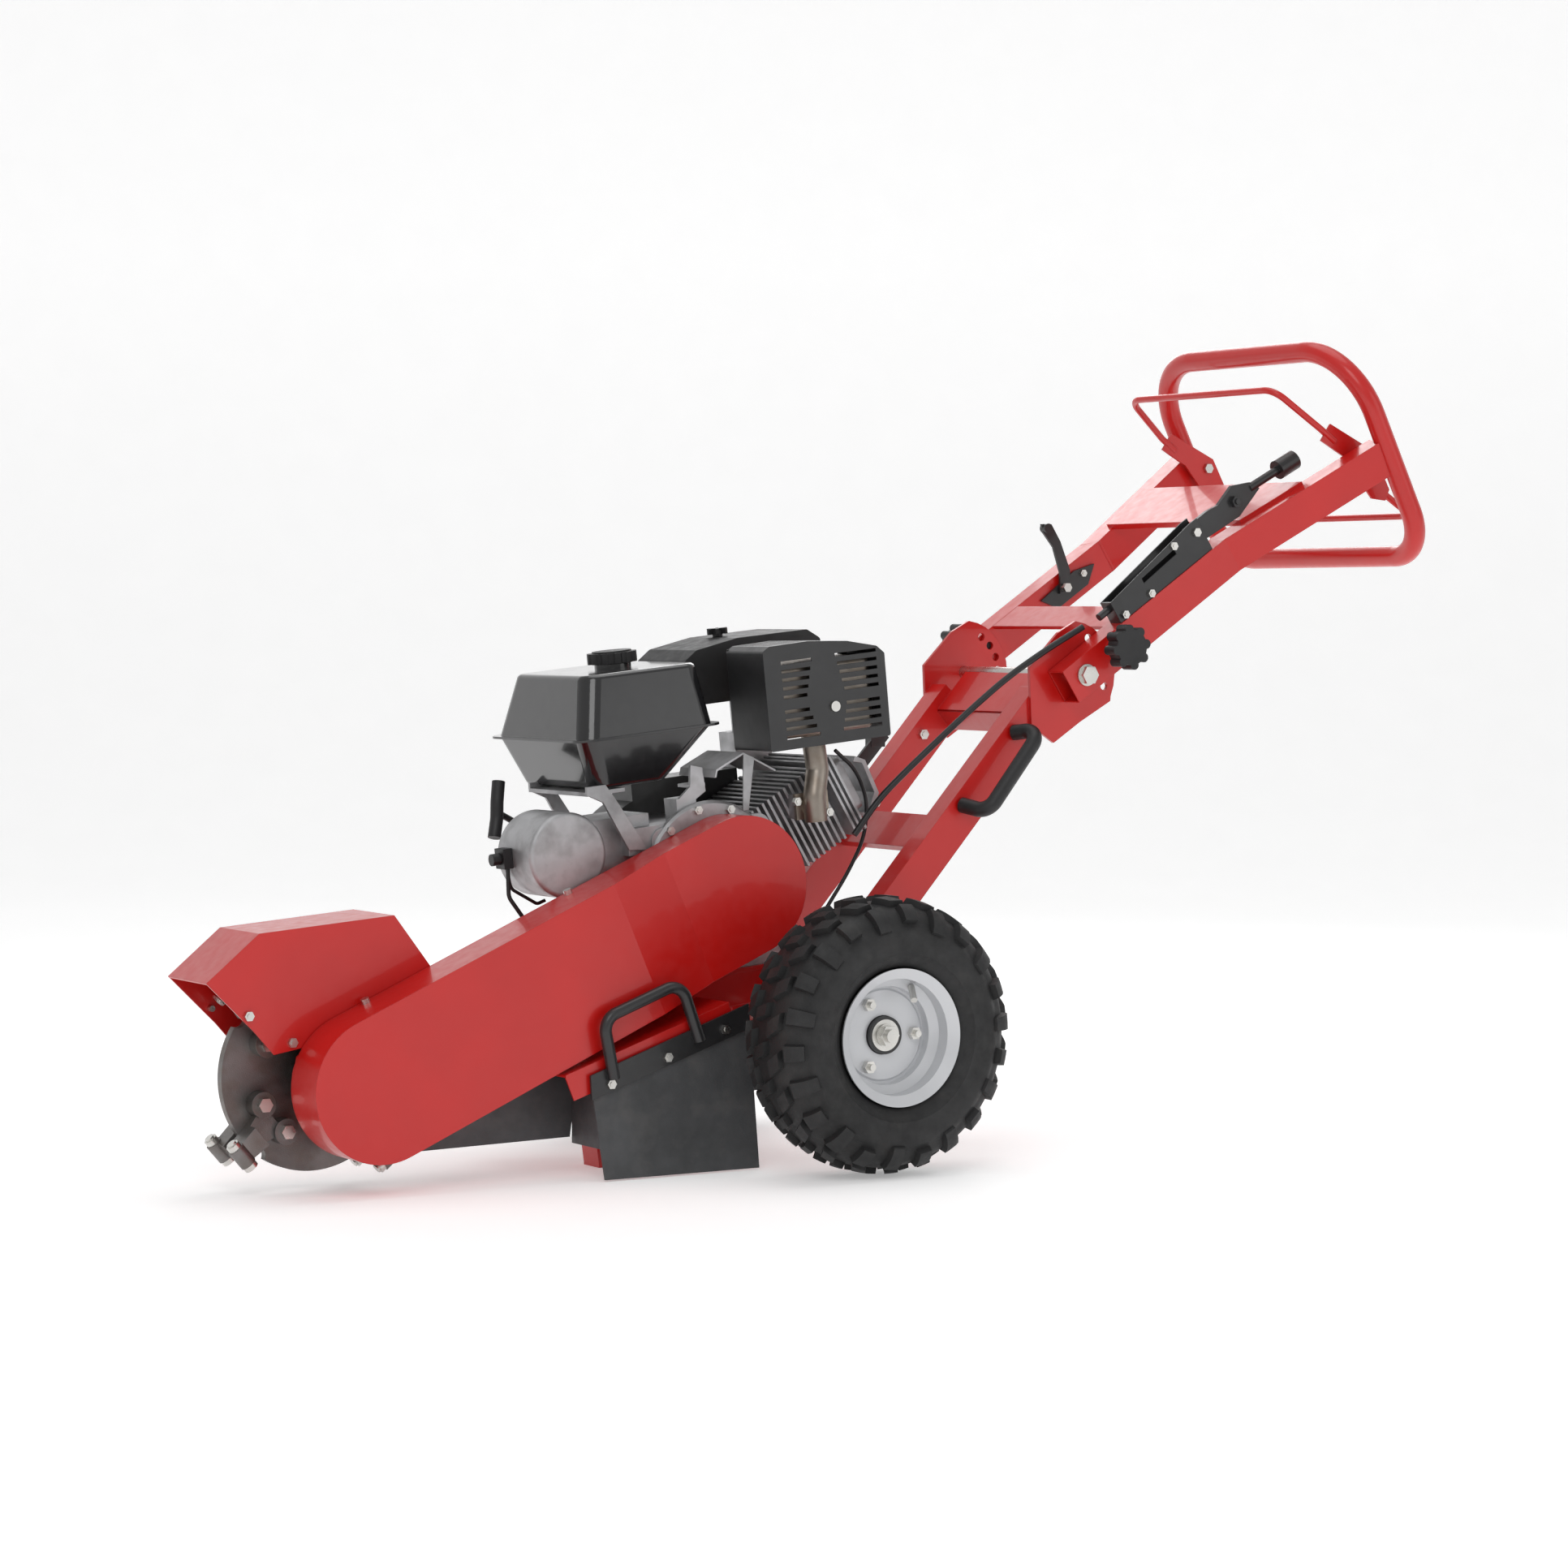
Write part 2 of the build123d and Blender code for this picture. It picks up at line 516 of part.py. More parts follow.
# ---------------------------------------------------------------- cutter and belt drive
def build_cutter():
    """Cutter shaft, disc, bolted tooth holders, teeth and bearings."""
    shaft = fuse(
        cyl_y(CUT_X, CUT_Z, CUT_SHAFT_R, BELT_Y - 26, BOOM_Y - 4),
        cyl_y(CUT_X, CUT_Z, 45, DISC_T / 2, DISC_T / 2 + 8),
        cyl_y(CUT_X, CUT_Z, 24, -DISC_T / 2 - 10, DISC_T / 2 + 12),
    )
    add("cutter_shaft", shaft)
    disc = cyl_y(CUT_X, CUT_Z, DISC_R, -DISC_T / 2, DISC_T / 2) - cyl_y(CUT_X, CUT_Z, 24, -20, 20)
    holders, teeth, bolts = [], [], []
    for k in range(TOOTH_COUNT):
        angle = TOOTH_FIRST + 360.0 * k / TOOTH_COUNT
        gx, gz = polar(CUT_X, CUT_Z, DISC_R + 2, angle + 12)
        disc = disc - cyl_y(gx, gz, 13, -20, 20)
        spots = [polar(CUT_X, CUT_Z, BOSS_R, angle + d) for d in (-BOSS_HALF_ANGLE, BOSS_HALF_ANGLE)]
        for bx, bz in spots:
            disc = disc - cyl_y(bx, bz, 6, -20, 20)
        tx, tz = polar(CUT_X, CUT_Z, TOOTH_PITCH_R, angle)
        ax, az = -math.sin(math.radians(angle)), math.cos(math.radians(angle))
        half = TOOTH_LEN / 2
        for s in (-1, 1):
            y_face = s * DISC_T / 2
            ends = sorted((y_face, s * 30))
            bosses = [cyl_y(bx, bz, 19, *ends) for bx, bz in spots]
            mx, mz = polar(CUT_X, CUT_Z, DISC_R - 18, angle)
            web_pts = [spots[0], spots[1], polar(mx, mz, 17, angle + 90), polar(mx, mz, 17, angle - 90)]
            web = prism(web_pts, *sorted((y_face, s * 24)))
            arm = prism([polar(mx, mz, 17, angle + 90), polar(mx, mz, 17, angle - 90),
                         polar(tx, tz, 13, angle - 90), polar(tx, tz, 13, angle + 90)],
                        *sorted((y_face, s * (TOOTH_Y + 3))))
            sleeve = cyl_between((tx - ax * 15, s * TOOTH_Y, tz - az * 15), (tx + ax * 15, s * TOOTH_Y, tz + az * 15), 12)
            holder = fuse(*bosses, web, arm, sleeve)
            bore = cyl_between((tx - ax * 60, s * TOOTH_Y, tz - az * 60), (tx + ax * 60, s * TOOTH_Y, tz + az * 60), TOOTH_R)
            holder = holder - bore - cyl_y(CUT_X, CUT_Z, DISC_R, -DISC_T / 2, DISC_T / 2)
            for bx, bz in spots:
                holder = holder - cyl_y(bx, bz, 6, -60, 60)
            holders.append(holder)
            shank = cyl_between((tx - ax * half, s * TOOTH_Y, tz - az * half),
                                (tx + ax * (half - 2), s * TOOTH_Y, tz + az * (half - 2)), TOOTH_R)
            nut = cyl_between((tx + ax * 15, s * TOOTH_Y, tz + az * 15), (tx + ax * 23, s * TOOTH_Y, tz + az * 23), 10.5)
            collar = cyl_between((tx - ax * 23, s * TOOTH_Y, tz - az * 23), (tx - ax * 15, s * TOOTH_Y, tz - az * 15), 10)
            teeth.append(fuse(shank, nut, collar))
        for bx, bz in spots:
            through = cyl_y(bx, bz, 6, -34, 34)
            bolts.append(fuse(through, hex_y(bx, bz, 19, -37, -30), hex_y(bx, bz, 19, 30, 37)))
    add("cutter_disc", disc)
    add("tooth_holders", *holders)
    add("cutter_teeth", *teeth)
    nut = hex_y(CUT_X, CUT_Z, 30, BELT_Y - 33, BELT_Y - 26)
    add("cutter_fasteners", *bolts, nut)
    rings = []
    for s in (-1, 1):
        a, b = sorted((s * 40, s * (40 + CUT_BEARING_W)))
        rings.append(tube_y(CUT_X, CUT_Z, CUT_BEARING_R, CUT_SHAFT_R + BEARING_CLEAR, a, b))
    add("cutter_bearings", *rings)


def grooved_pulley(cx, cz, r_out, y_mid, bore_r, grow=0.0):
    """Two-groove V pulley; grow gives the space it needs, larger all round."""
    half = BELT_PITCH_Y / 2 + BELT_TOP_W / 2 + 4
    body = cyl_y(cx, cz, r_out + grow, y_mid - half, y_mid + half)
    body = body - cyl_y(cx, cz, bore_r, y_mid - 60, y_mid + 60)
    for s in (-1, 1):
        yc = y_mid + s * BELT_PITCH_Y / 2
        groove = revolve_y([
            (r_out + 1, yc - BELT_TOP_W / 2 - 0.6 + grow), (r_out + 1, yc + BELT_TOP_W / 2 + 0.6 - grow),
            (r_out - BELT_H - 1, yc + 3.6 - grow), (r_out - BELT_H - 1, yc - 3.6 + grow),
        ], cx, cz)
        body = body - groove
    return body


def build_drive():
    """Pulleys, clutch, belts and crankshaft."""
    hub = tube_y(CUT_X, CUT_Z, 26, CUT_SHAFT_R, BELT_Y + 18, BELT_Y + 26)
    add("driven_pulley", fuse(grooved_pulley(CUT_X, CUT_Z, DRIVEN_R, BELT_Y, CUT_SHAFT_R), hub))
    drum = tube_y(CRANK_X, CRANK_Z, 56, CRANK_R, BELT_Y + 18, BELT_Y + 28)
    add("clutch_pulley", fuse(grooved_pulley(CRANK_X, CRANK_Z, DRIVE_R, BELT_Y, CRANK_R), drum))
    web = cyl_y(CRANK_X, CRANK_Z, 50, 20, 60)
    add("crankshaft", fuse(cyl_y(CRANK_X, CRANK_Z, CRANK_R, BELT_Y - 19, 150), web))
    belts = []
    for s in (-1, 1):
        yc = BELT_Y + s * BELT_PITCH_Y / 2
        low = (CUT_X, CUT_Z, DRIVEN_R - 0.2)
        up = (CRANK_X, CRANK_Z, DRIVE_R - 0.2)
        ring = oblong(low, up, yc - BELT_TOP_W / 2 + 0.9, yc + BELT_TOP_W / 2 - 0.9)
        ring = ring - oblong(low, up, yc - 20, yc + 20, BELT_H - 1.5)
        sheave = grooved_pulley(CUT_X, CUT_Z, DRIVEN_R, BELT_Y, CUT_SHAFT_R, BELT_GAP)
        drive = grooved_pulley(CRANK_X, CRANK_Z, DRIVE_R, BELT_Y, CRANK_R, BELT_GAP)
        belts.append(ring - sheave - drive)
    add("v_belts", *belts)


# ---------------------------------------------------------------- engine
def tapered(x0, x1, y0, y1, z0, tx0, tx1, ty0, ty1, z1, radius):
    """Loft between two rounded rectangles."""
    def section(a0, a1, b0, b1, z, r):
        plane = Plane(origin=((a0 + a1) / 2, (b0 + b1) / 2, z))
        return plane * RectangleRounded(a1 - a0, b1 - b0, r)
    return loft([section(x0, x1, y0, y1, z0, radius), section(tx0, tx1, ty0, ty1, z1, radius)])


def crank_casting():
    """Crankcase with feet, side cover, starter seat and the finned cylinder, all one casting."""
    foot = block(-105, 105, -60, 100, -SHAFT_HEIGHT, -SHAFT_HEIGHT + 12)
    body = block(-112, 96, -64, 114, -SHAFT_HEIGHT, 96)
    body = fillet(body.edges().filter_by(Axis.Y), 22)
    cover = cyl_y(-14, 14, 112, -69.7, -58)
    cover = chamfer(cover.faces().sort_by(Axis.Y)[0].edges(), 4)
    rib = block(-150, -60, -60, -20, 60, 100)
    nose = block(-215, -100, -40, 60, 30, 118)
    case = fuse(foot, body, cover, nose, rib)
    case = case - cyl_y(0, 0, CRANK_R + 0.05, -80, 160) - cyl_y(0, 0, 52, 18, 62)
    return ENGINE * fuse(case, *cylinder_parts())


def build_crankcase():
    """Crank casting, starter motor and the side-cover bolts."""
    add("crankcase", crank_casting())
    barrel = cyl_y(-251, 75, 64, -60, 44)
    barrel = fillet(barrel.faces().sort_by(Axis.Y)[0].edges(), 7)
    barrel = barrel - block(-215, -100, -40, 60, 30, 118)
    add("starter_motor", ENGINE * barrel)
    for angle in (68, 100, 132):
        bx, bz = polar(-14, 14, 102, angle)
        FASTENERS["engine"].append(ENGINE * bolt_y(bx, bz, 12, -69.7, -1, 5))


def build_fan_side():
    """Fan housing, recoil starter and its pull handle."""
    drum = cyl_y(0, 0, 128, 114.3, 190)
    drum = fillet(drum.faces().sort_by(Axis.Y)[-1].edges(), 8)
    housing = fuse(drum, block(-40, 150, 114.3, 178, 0, 150))
    housing = housing - cyl_y(0, 0, 20, 110, 152)
    add("fan_housing", ENGINE * housing)
    cover = cyl_y(0, 0, 92, 190.3, 213)
    cover = fillet(cover.faces().sort_by(Axis.Y)[-1].edges(), 9)
    for k in range(8):
        sx, sz = polar(0, 0, 60, 22.5 + 45 * k)
        cover = cover - cyl_y(sx, sz, 8, 205, 220)
    guide = cyl_between((-120, 150, 40), (-226, 118, 104), 9) - fuse(
        cyl_y(0, 0, 128, 114.3, 190), cyl_between((-60, 168, 4), (-240, 113.7, 113), 3.3))
    cover = fuse(cover, cyl_y(0, 0, 70, 190.3, 196))
    add("recoil_cover", ENGINE * cover, ENGINE * guide.solids().sort_by(SortBy.VOLUME)[-1])
    start, end = Vector(-226, 118, 104), Vector(-286, 99.9, 140.3)
    stem = cyl_between(tuple(start + (end - start) * 0.01), tuple(end), 5)
    rope = cyl_between((-196, 127, 85.9), tuple(start + (end - start) * 0.05), 2.2)
    bar = rod([(-294, 92, 100), (-283, 99, 128), (-279, 101, 152), (-270, 107, 182)], 10, [30, 30])
    add("pull_handle", ENGINE * fuse(stem, rope, bar))


CYL_TILT = Location((0, 0, 0), (0, -CYL_ANGLE, 0))


def finned_barrel():
    """Cylinder barrel with its cooling fins, on the tilted axis."""
    barrel = block(80, 236, -44, 84, -44, 44)
    fins = [block(100 + FIN_PITCH * k, 100 + FIN_PITCH * k + FIN_T, -62, 104, -64, 62) for k in range(FIN_COUNT)]
    return fuse(barrel, *fins)


def cylinder_parts():
    """Bored barrel and the exhaust port that stands out of it, in the engine frame."""
    bored = finned_barrel() - cyl_between((0, 20, 0), (225, 20, 0), 40)
    bored = (CYL_TILT * bored) - cyl_y(0, 0, 55, 15, 65)
    port = block(132, 190, -77, -40, 80, 116)
    return [bored, port]


def build_head():
    """Cylinder head and valve cover on the tilted cylinder axis."""
    head = block(236.3, 262, -60, 100, -62, 60)
    ribs = [block(236.3 + 9 * k, 240.5 + 9 * k, -74, 106, -66, 64) for k in range(3)]
    valve = fillet(block(262.3, 284, -46, 88, -46, 44).edges().filter_by(Axis.X), 10)
    add("cylinder_head", *[ENGINE * (CYL_TILT * piece) for piece in (fuse(head, *ribs), valve)])


def build_exhaust():
    """Exhaust pipe, muffler box and slotted guard."""
    x0, x1, y0, y1 = GUARD
    z0 = GUARD_BOT_Z
    top = [(x0, z0), (x1, z0), (x1 + 1, 318), (x1 - 12, 330), (x0 + 150, 343), (x0 + 80, 350), (x0 + 12, 349), (x0, 342)]
    outer = prism(top, y0, y1, 4)
    inner_pts = [(x0 + 1.5, z0 - 2), (x1 - 1.5, z0 - 2), (x1 - 0.5, 317), (x1 - 12.5, 328.4), (x0 + 150, 341.4),
                 (x0 + 80, 348.4), (x0 + 12.5, 347.4), (x0 + 1.5, 341)]
    guard = outer - prism(inner_pts, y0 + GUARD_T, y1 + 1, 3)
    slots = []
    for row in range(5):
        zc = 322 - 13 * row
        slots.append((x0 + 30, x0 + 84 - 3 * row, zc))
        slots.append((x0 + 126 + 3 * row, x1 - 14, zc + 2))
    for row in range(4):
        zc = 256 - 13 * row - 8
        slots.append((x0 + 30, x0 + 74 + 5 * row, zc))
        slots.append((x0 + 140 - 3 * row, x1 - 14, zc + 2))
    for sx0, sx1, zc in slots:
        guard = guard - block(sx0, sx1, y0 - 5, y0 + 5, zc - 2.6, zc + 2.6)
    for k in range(9):
        guard = guard - block(x0 + 16, x0 + 90, y0 + 14 + 10 * k, y0 + 18 + 10 * k, 343, 352)
    guard = guard - cyl_y(188, 247, 5, y0 - 5, y0 + 5)
    tabs = [block(x0 + 1, x0 + 16, y1 - 3, y1, z0, 345), block(x1 - 16, x1 - 1, y1 - 3, y1, z0, 322)]
    guard = fuse(guard, *tabs)
    add("muffler_guard", ENGINE * guard)
    can = fillet(block(x0 + 14, x1 - 14, y0 + 16, y1 - 3, z0 + 14, 318).edges(), 12)
    lugs = cyl_y(188, 247, 9, y0 + GUARD_T, y0 + 18)
    legs = [block(x0 + 1.5, x0 + 16, y0 + 40, y0 + 60, 240, 260), block(x1 - 16, x1 - 1.5, y0 + 40, y0 + 60, 240, 260)]
    can = fuse(can, lugs, *legs)
    route = [(158, -96, 74), (158, -96, 110), (172, -90, 150), (172, -84, z0 + 16)]
    run = rod(route, 17.5, [26, 26])
    flange = block(132, 190, -84, -77, 78, 118)
    elbow = cyl_y(160, 96, 17.5, -96, -77)
    pipe_body = fuse(run, elbow, flange) - (CYL_TILT * block(80, 300, -75, 110, -70, 70))
    add("muffler", ENGINE * fuse(can, pipe_body.solids().sort_by(SortBy.VOLUME)[-1]))
    screw = fuse(cyl_y(188, 247, 8, y0 - 4, y0), cyl_y(188, 247, 4.8, y0 - 1, y0 + GUARD_T))
    nuts = [bolt_y(bx, bz, 12, -84, -1, 8) for bx, bz in ((132, 107), (187, 84))]
    FASTENERS["engine"] += [ENGINE * f for f in (screw, *nuts)]


def build_tank():
    """Fuel tank, filler cap and the stay plates that carry it."""
    x0, x1, y0, y1 = TANK
    s, w = TANK_SEAM_Z, TANK_WALL
    upper = tapered(x0, x1, y0, y1, s, x0 + 27, x1 - 5, y0 + 26, y1 - 26, TANK_TOP_Z, 26)
    upper = fillet(upper.faces().sort_by(Axis.Z)[-1].edges(), 9)
    lower = tapered(x0 + 26, x1 - 76, y0 + 26, y1 - 26, TANK_BOT_Z, x0, x1, y0, y1, s, 26)
    lower = fillet(lower.faces().sort_by(Axis.Z)[0].edges(), 9)
    inner_up = tapered(x0 + w, x1 - w, y0 + w, y1 - w, s, x0 + 27 + w, x1 - 5 - w, y0 + 26 + w, y1 - 26 - w,
                       TANK_TOP_Z - w, 24)
    inner_low = tapered(x0 + 26 + w, x1 - 76 - w, y0 + 26 + w, y1 - 26 - w, TANK_BOT_Z + w,
                        x0 + w, x1 - w, y0 + w, y1 - w, s, 24)
    lip = Pos((x0 + x1) / 2, (y0 + y1) / 2, s) * Box(x1 - x0 + 2 * TANK_LIP, y1 - y0 + 2 * TANK_LIP, 3.5)
    lip = fillet(lip.edges().filter_by(Axis.Z), 30)
    cx, cy = -86.0, (y0 + y1) / 2
    neck = Pos(cx, cy, TANK_TOP_Z + 1) * Cylinder(28, 10)
    hole = Pos(cx, cy, TANK_TOP_Z) * Cylinder(25, 30)
    tank = fuse(upper, lower, lip, neck) - inner_up - inner_low - hole
    add("fuel_tank", ENGINE * tank)
    cap_z = TANK_TOP_Z + 15
    cap = fuse(Pos(cx, cy, cap_z) * Cylinder(CAP_R, 16), Pos(cx, cy, cap_z + 9) * Cylinder(CAP_R - 8, 3))
    for k in range(12):
        a = math.radians(30 * k)
        cap = cap - Pos(cx + (CAP_R + 3) * math.cos(a), cy + (CAP_R + 3) * math.sin(a), cap_z) * Cylinder(6, 20)
    cap = cap - Pos(cx, cy, cap_z - 7) * Cylinder(28.3, 8)
    add("fuel_cap", ENGINE * cap)
    tank_solid = fuse(upper, lower)
    stays = []
    left = [(-152, 70), (-120, 66), (-168, 150), (-182, 172), (-214, 172), (-214, 160), (-188, 146)]
    right = [(-60, 130), (-26, 130), (-8, 140), (-10, 176), (-30, 182), (-34, 150)]
    for pts, ya, yb in ((left, -66, -60.3), (right, -57.7, -52), (left, 114.3, 120)):
        stays.append(prism(pts, ya, yb) - tank_solid)
    shelf = block(-214, -150, -66, 120, 158, 164) - tank_solid
    post = block(-60, -26, -57.7, -20, 90, 134)
    stay_left = fuse(stays[0], stays[2], shelf)
    stay_right = fuse(stays[1], post, block(-34, -8, -57.7, -20, 148, 153) - tank_solid)
    solid_case = NODES["crankcase"]
    fan = fuse(cyl_y(0, 0, 128, 114.3, 190), block(-40, 150, 114.3, 178, 0, 150))
    kept = []
    for stay in (stay_left - fan, stay_right - fan):
        kept.append(((ENGINE * stay) - solid_case).solids().sort_by(SortBy.VOLUME)[-1])
    NODES["engine_brackets"] = kept


def build_air_cleaner():
    """Air cleaner box, its knob and the carburettor behind the cylinder."""
    profile = [(26, 262), (26, 330), (50, 346), (124, 357), (250, 357), (273, 341), (273, 262)]
    box = prism(profile, 32, 178, 8)
    add("air_cleaner", ENGINE * box)
    knob = fuse(Pos(136, 112, 362) * Cylinder(8, 10.2), *[
        Pos(136, 112, 366) * (Rot(0, 0, 60 * k) * Box(34, 5, 9)) for k in range(3)])
    knob = knob - Pos(136, 112, 300) * Cylinder(60, 114.8)
    add("cleaner_knob", ENGINE * knob)
    carb = fuse(block(150, 215, 112, 160, 150, 205), cyl_between((180, 130, 205), (180, 130, 261.7), 20))
    head_room = CYL_TILT * block(60, 300, -75, 107, -70, 66)
    carb = carb - head_room
    runner = cyl_between((185, 107.5, 110), (185, 134, 160), 16) - head_room
    add("carburettor", ENGINE * fuse(carb, runner))
    shield = prism([(-2, 160), (2, 172), (52, 192), (106, 159), (104, 156.5), (52, 189), (4, 169.5), (1, 160)], -78, 30)
    leg = prism([(52, 191), (70, 182), (52, 104), (42, 104)], -78, -75.5)
    tank_low = tapered(TANK[0] + 26, TANK[1] - 76, TANK[2] + 26, TANK[3] - 26, TANK_BOT_Z, *TANK, TANK_SEAM_Z, 26)
    shield = fuse(shield, leg) - tank_low - (CYL_TILT * finned_barrel())
    shield = shield.solids().sort_by(SortBy.VOLUME)[-1]
    side = prism([(262, 66), (292, 60), (310, 96), (290, 150), (272, 158), (268, 150), (284, 146), (302, 98), (288, 68),
                  (262, 72)], -40, 60)
    valve = CYL_TILT * fuse(block(236, 262.2, -74, 106, -66, 64), block(262, 284.3, -46, 88, -46, 44))
    side = (side - valve).solids().sort_by(SortBy.VOLUME)[-1]
    add("engine_brackets", *NODES["engine_brackets"], ENGINE * shield, ENGINE * side)


def build_switch():
    """Ignition switch box with its key knob, and the short harness below it."""
    box = block(-330, -315.3, -4, 24, 62, 92)
    add("switch_box", ENGINE * fuse(box, block(-316, -300, 4, 16, 70, 84) - cyl_y(-251, 75, 64, -60, 44)))
    add("switch_knob", ENGINE * cyl_between((-344, 10, 77), (-330.3, 10, 77), 9))
    loops = [
        rod([(-322, 2, 62), (-326, 0, 20), (-300, -10, -30), (-255, -20, -40), (-240, -20, 5)], 3.2, [22, 22, 22]),
        rod([(-318, 14, 62), (-314, 14, 30), (-275, 10, 2), (-262, 8, 6)], 2.6, [16, 8]),
    ]
    barrel = cyl_y(-251, 75, 64, -60, 44)
    add("wire_harness", *[ENGINE * (wire - barrel - box) for wire in loops])


# ---------------------------------------------------------------- handle
def low_tube(side):
    """One lower handle tube, from the axle saddle to the pivot."""
    a = math.radians(LOW_ANGLE)
    dx, dz = math.cos(a), math.sin(a)
    y = side * (QUAD_IN - TUBE_W / 2)
    foot = (26.0, 265.0)
    length = 578.0
    return beam((foot[0], y, foot[1]), (foot[0] + dx * length, y, foot[1] + dz * length), TUBE_W, TUBE_H, TUBE_WALL)


def quadrant(side):
    """Pivot plate with its row of lock holes."""
    pts = [(378, 655), (420, 628), (470, 660), (528, 692)]
    pts += [polar(PIVOT_X, PIVOT_Z, QUAD_R, a) for a in range(-24, 85, 12)]
    pts += [(428, 800), (374, 746)]
    y0, y1 = sorted((side * QUAD_IN, side * (QUAD_IN + QUAD_T)))
    plate = prism(pts, y0, y1) - cyl_y(PIVOT_X, PIVOT_Z, PIVOT_R, y0 - 1, y1 + 1)
    for h in QUAD_HOLES:
        hx, hz = polar(PIVOT_X, PIVOT_Z, QUAD_HOLE_R, h)
        plate = plate - cyl_y(hx, hz, LOCK_PIN_R + 0.4, y0 - 1, y1 + 1)
    return plate


def build_low_frame():
    """Lower handle frame welded from two tubes, two cross plates and two pivot plates."""
    inner = QUAD_IN - TUBE_W
    low = prism([(196, 462), (238, 510), (229, 518), (187, 470)], -inner, inner)
    up = prism([(383, 668), (436, 727.5), (427, 735.5), (374, 676)], -inner, inner)
    flange = prism([(373, 673), (385, 674), (405, 651), (398, 643)], -inner, inner)
    shape = fuse(low_tube(-1), low_tube(1), low, up, flange, quadrant(-1), quadrant(1))
    cut = NODES["main_frame"]
    add("lower_handle_frame", (shape - cut).solids().sort_by(SortBy.VOLUME)[-1])
    rod_len = KINK[1] + TUBE_W / 2
    add("pivot_rod", cyl_y(PIVOT_X, PIVOT_Z, PIVOT_R, -rod_len - 13, rod_len + 13))
    nuts = []
    for s in (-1, 1):
        a, b = sorted((s * (rod_len + GAP), s * (rod_len + 3)))
        c, d = sorted((s * (rod_len + 3), s * (rod_len + 13)))
        washer = tube_y(PIVOT_X, PIVOT_Z, 17, PIVOT_R, a, b)
        nuts.append(fuse(washer, hex_y(PIVOT_X, PIVOT_Z, 26, c, d) - cyl_y(PIVOT_X, PIVOT_Z, PIVOT_R, c - 1, d + 1)))
    FASTENERS["chassis"] += nuts
    reach = -QUAD_IN - GRAB_REACH
    grab = rod([(348, -QUAD_IN - 1, 645), (369, reach, 651), (268, reach, 526), (252, -QUAD_IN - 1, 535)], GRAB_R,
               [22, 22])
    add("grab_handle", grab - cyl_y(300, 590, 400, -QUAD_IN, 0))
    bolts = []
    for bx, bz in ((345, 636), (254, 530)):
        bolts.append(bolt_y(bx, bz, 15, inner, -1, 6))
    for bx, bz in ((349, 641), (254, 537)):
        bolts.append(bolt_y(bx, bz, 15, -inner, 1, 6))
    FASTENERS["chassis"] += bolts
    a = math.radians(LOW_ANGLE)
    brace = beam((150, 92, 518), (262, 92, 640), 6, 22)
    tabs = fuse(block(236, 262, 88, 106, 618, 640), block(140, 162, 89, 95, 500, 525))
    add("rear_brace", fuse(brace, tabs) - NODES["lower_handle_frame"])


def up_tube(side):
    """One upper handle tube: straight past the pivot, then splayed out to the ring."""
    a = math.radians(UP_ANGLE)
    y0 = side * KINK[1]
    start = (PIVOT_X - 34 * math.cos(a), y0, PIVOT_Z - 34 * math.sin(a))
    knee = Vector(KINK[0], y0, KINK[2])
    end = Vector(TUBE_END[0], side * TUBE_END[1], TUBE_END[2])
    run = (end - knee).normalized()
    lower = beam(start, tuple(knee + Vector(math.cos(a), 0, math.sin(a)) * 5), TUBE_W, TUBE_H, TUBE_WALL)
    upper = beam(tuple(knee - run * 5), tuple(end + run * 16), TUBE_W, TUBE_H, TUBE_WALL)
    bore = fuse(
        beam(start, tuple(knee), TUBE_W - 2 * TUBE_WALL, TUBE_H - 2 * TUBE_WALL),
        beam(tuple(knee), tuple(end), TUBE_W - 2 * TUBE_WALL, TUBE_H - 2 * TUBE_WALL),
    )
    return fuse(lower, upper) - bore


def ring_point(y, up, off=0.0):
    """Point in the tilted plane of the ring handlebar."""
    a = math.radians(RING_TILT)
    return (RING_X - up * math.sin(a) + off * math.cos(a), y, RING_Z + up * math.cos(a) + off * math.sin(a))


def ring_solid(radius):
    """Closed rounded rectangle of round bar, swept in two open halves."""
    halves = []
    for s in (-1, 1):
        pts = [ring_point(0, RING_UP), ring_point(s * RING_HALF, RING_UP), ring_point(s * RING_HALF, -RING_DOWN),
               ring_point(0, -RING_DOWN)]
        halves.append(rod(pts, radius, [RING_TOP_BEND, RING_LOW_BEND]))
    return fuse(*halves)


def along_tube(s, n):
    """X and Z at s along the top face of the upper tubes from the pivot and n above it."""
    a = math.radians(UP_ANGLE)
    x = PIVOT_X + s * math.cos(a) - (TUBE_H / 2 + n) * math.sin(a)
    z = PIVOT_Z + s * math.sin(a) + (TUBE_H / 2 + n) * math.cos(a)
    return x, z


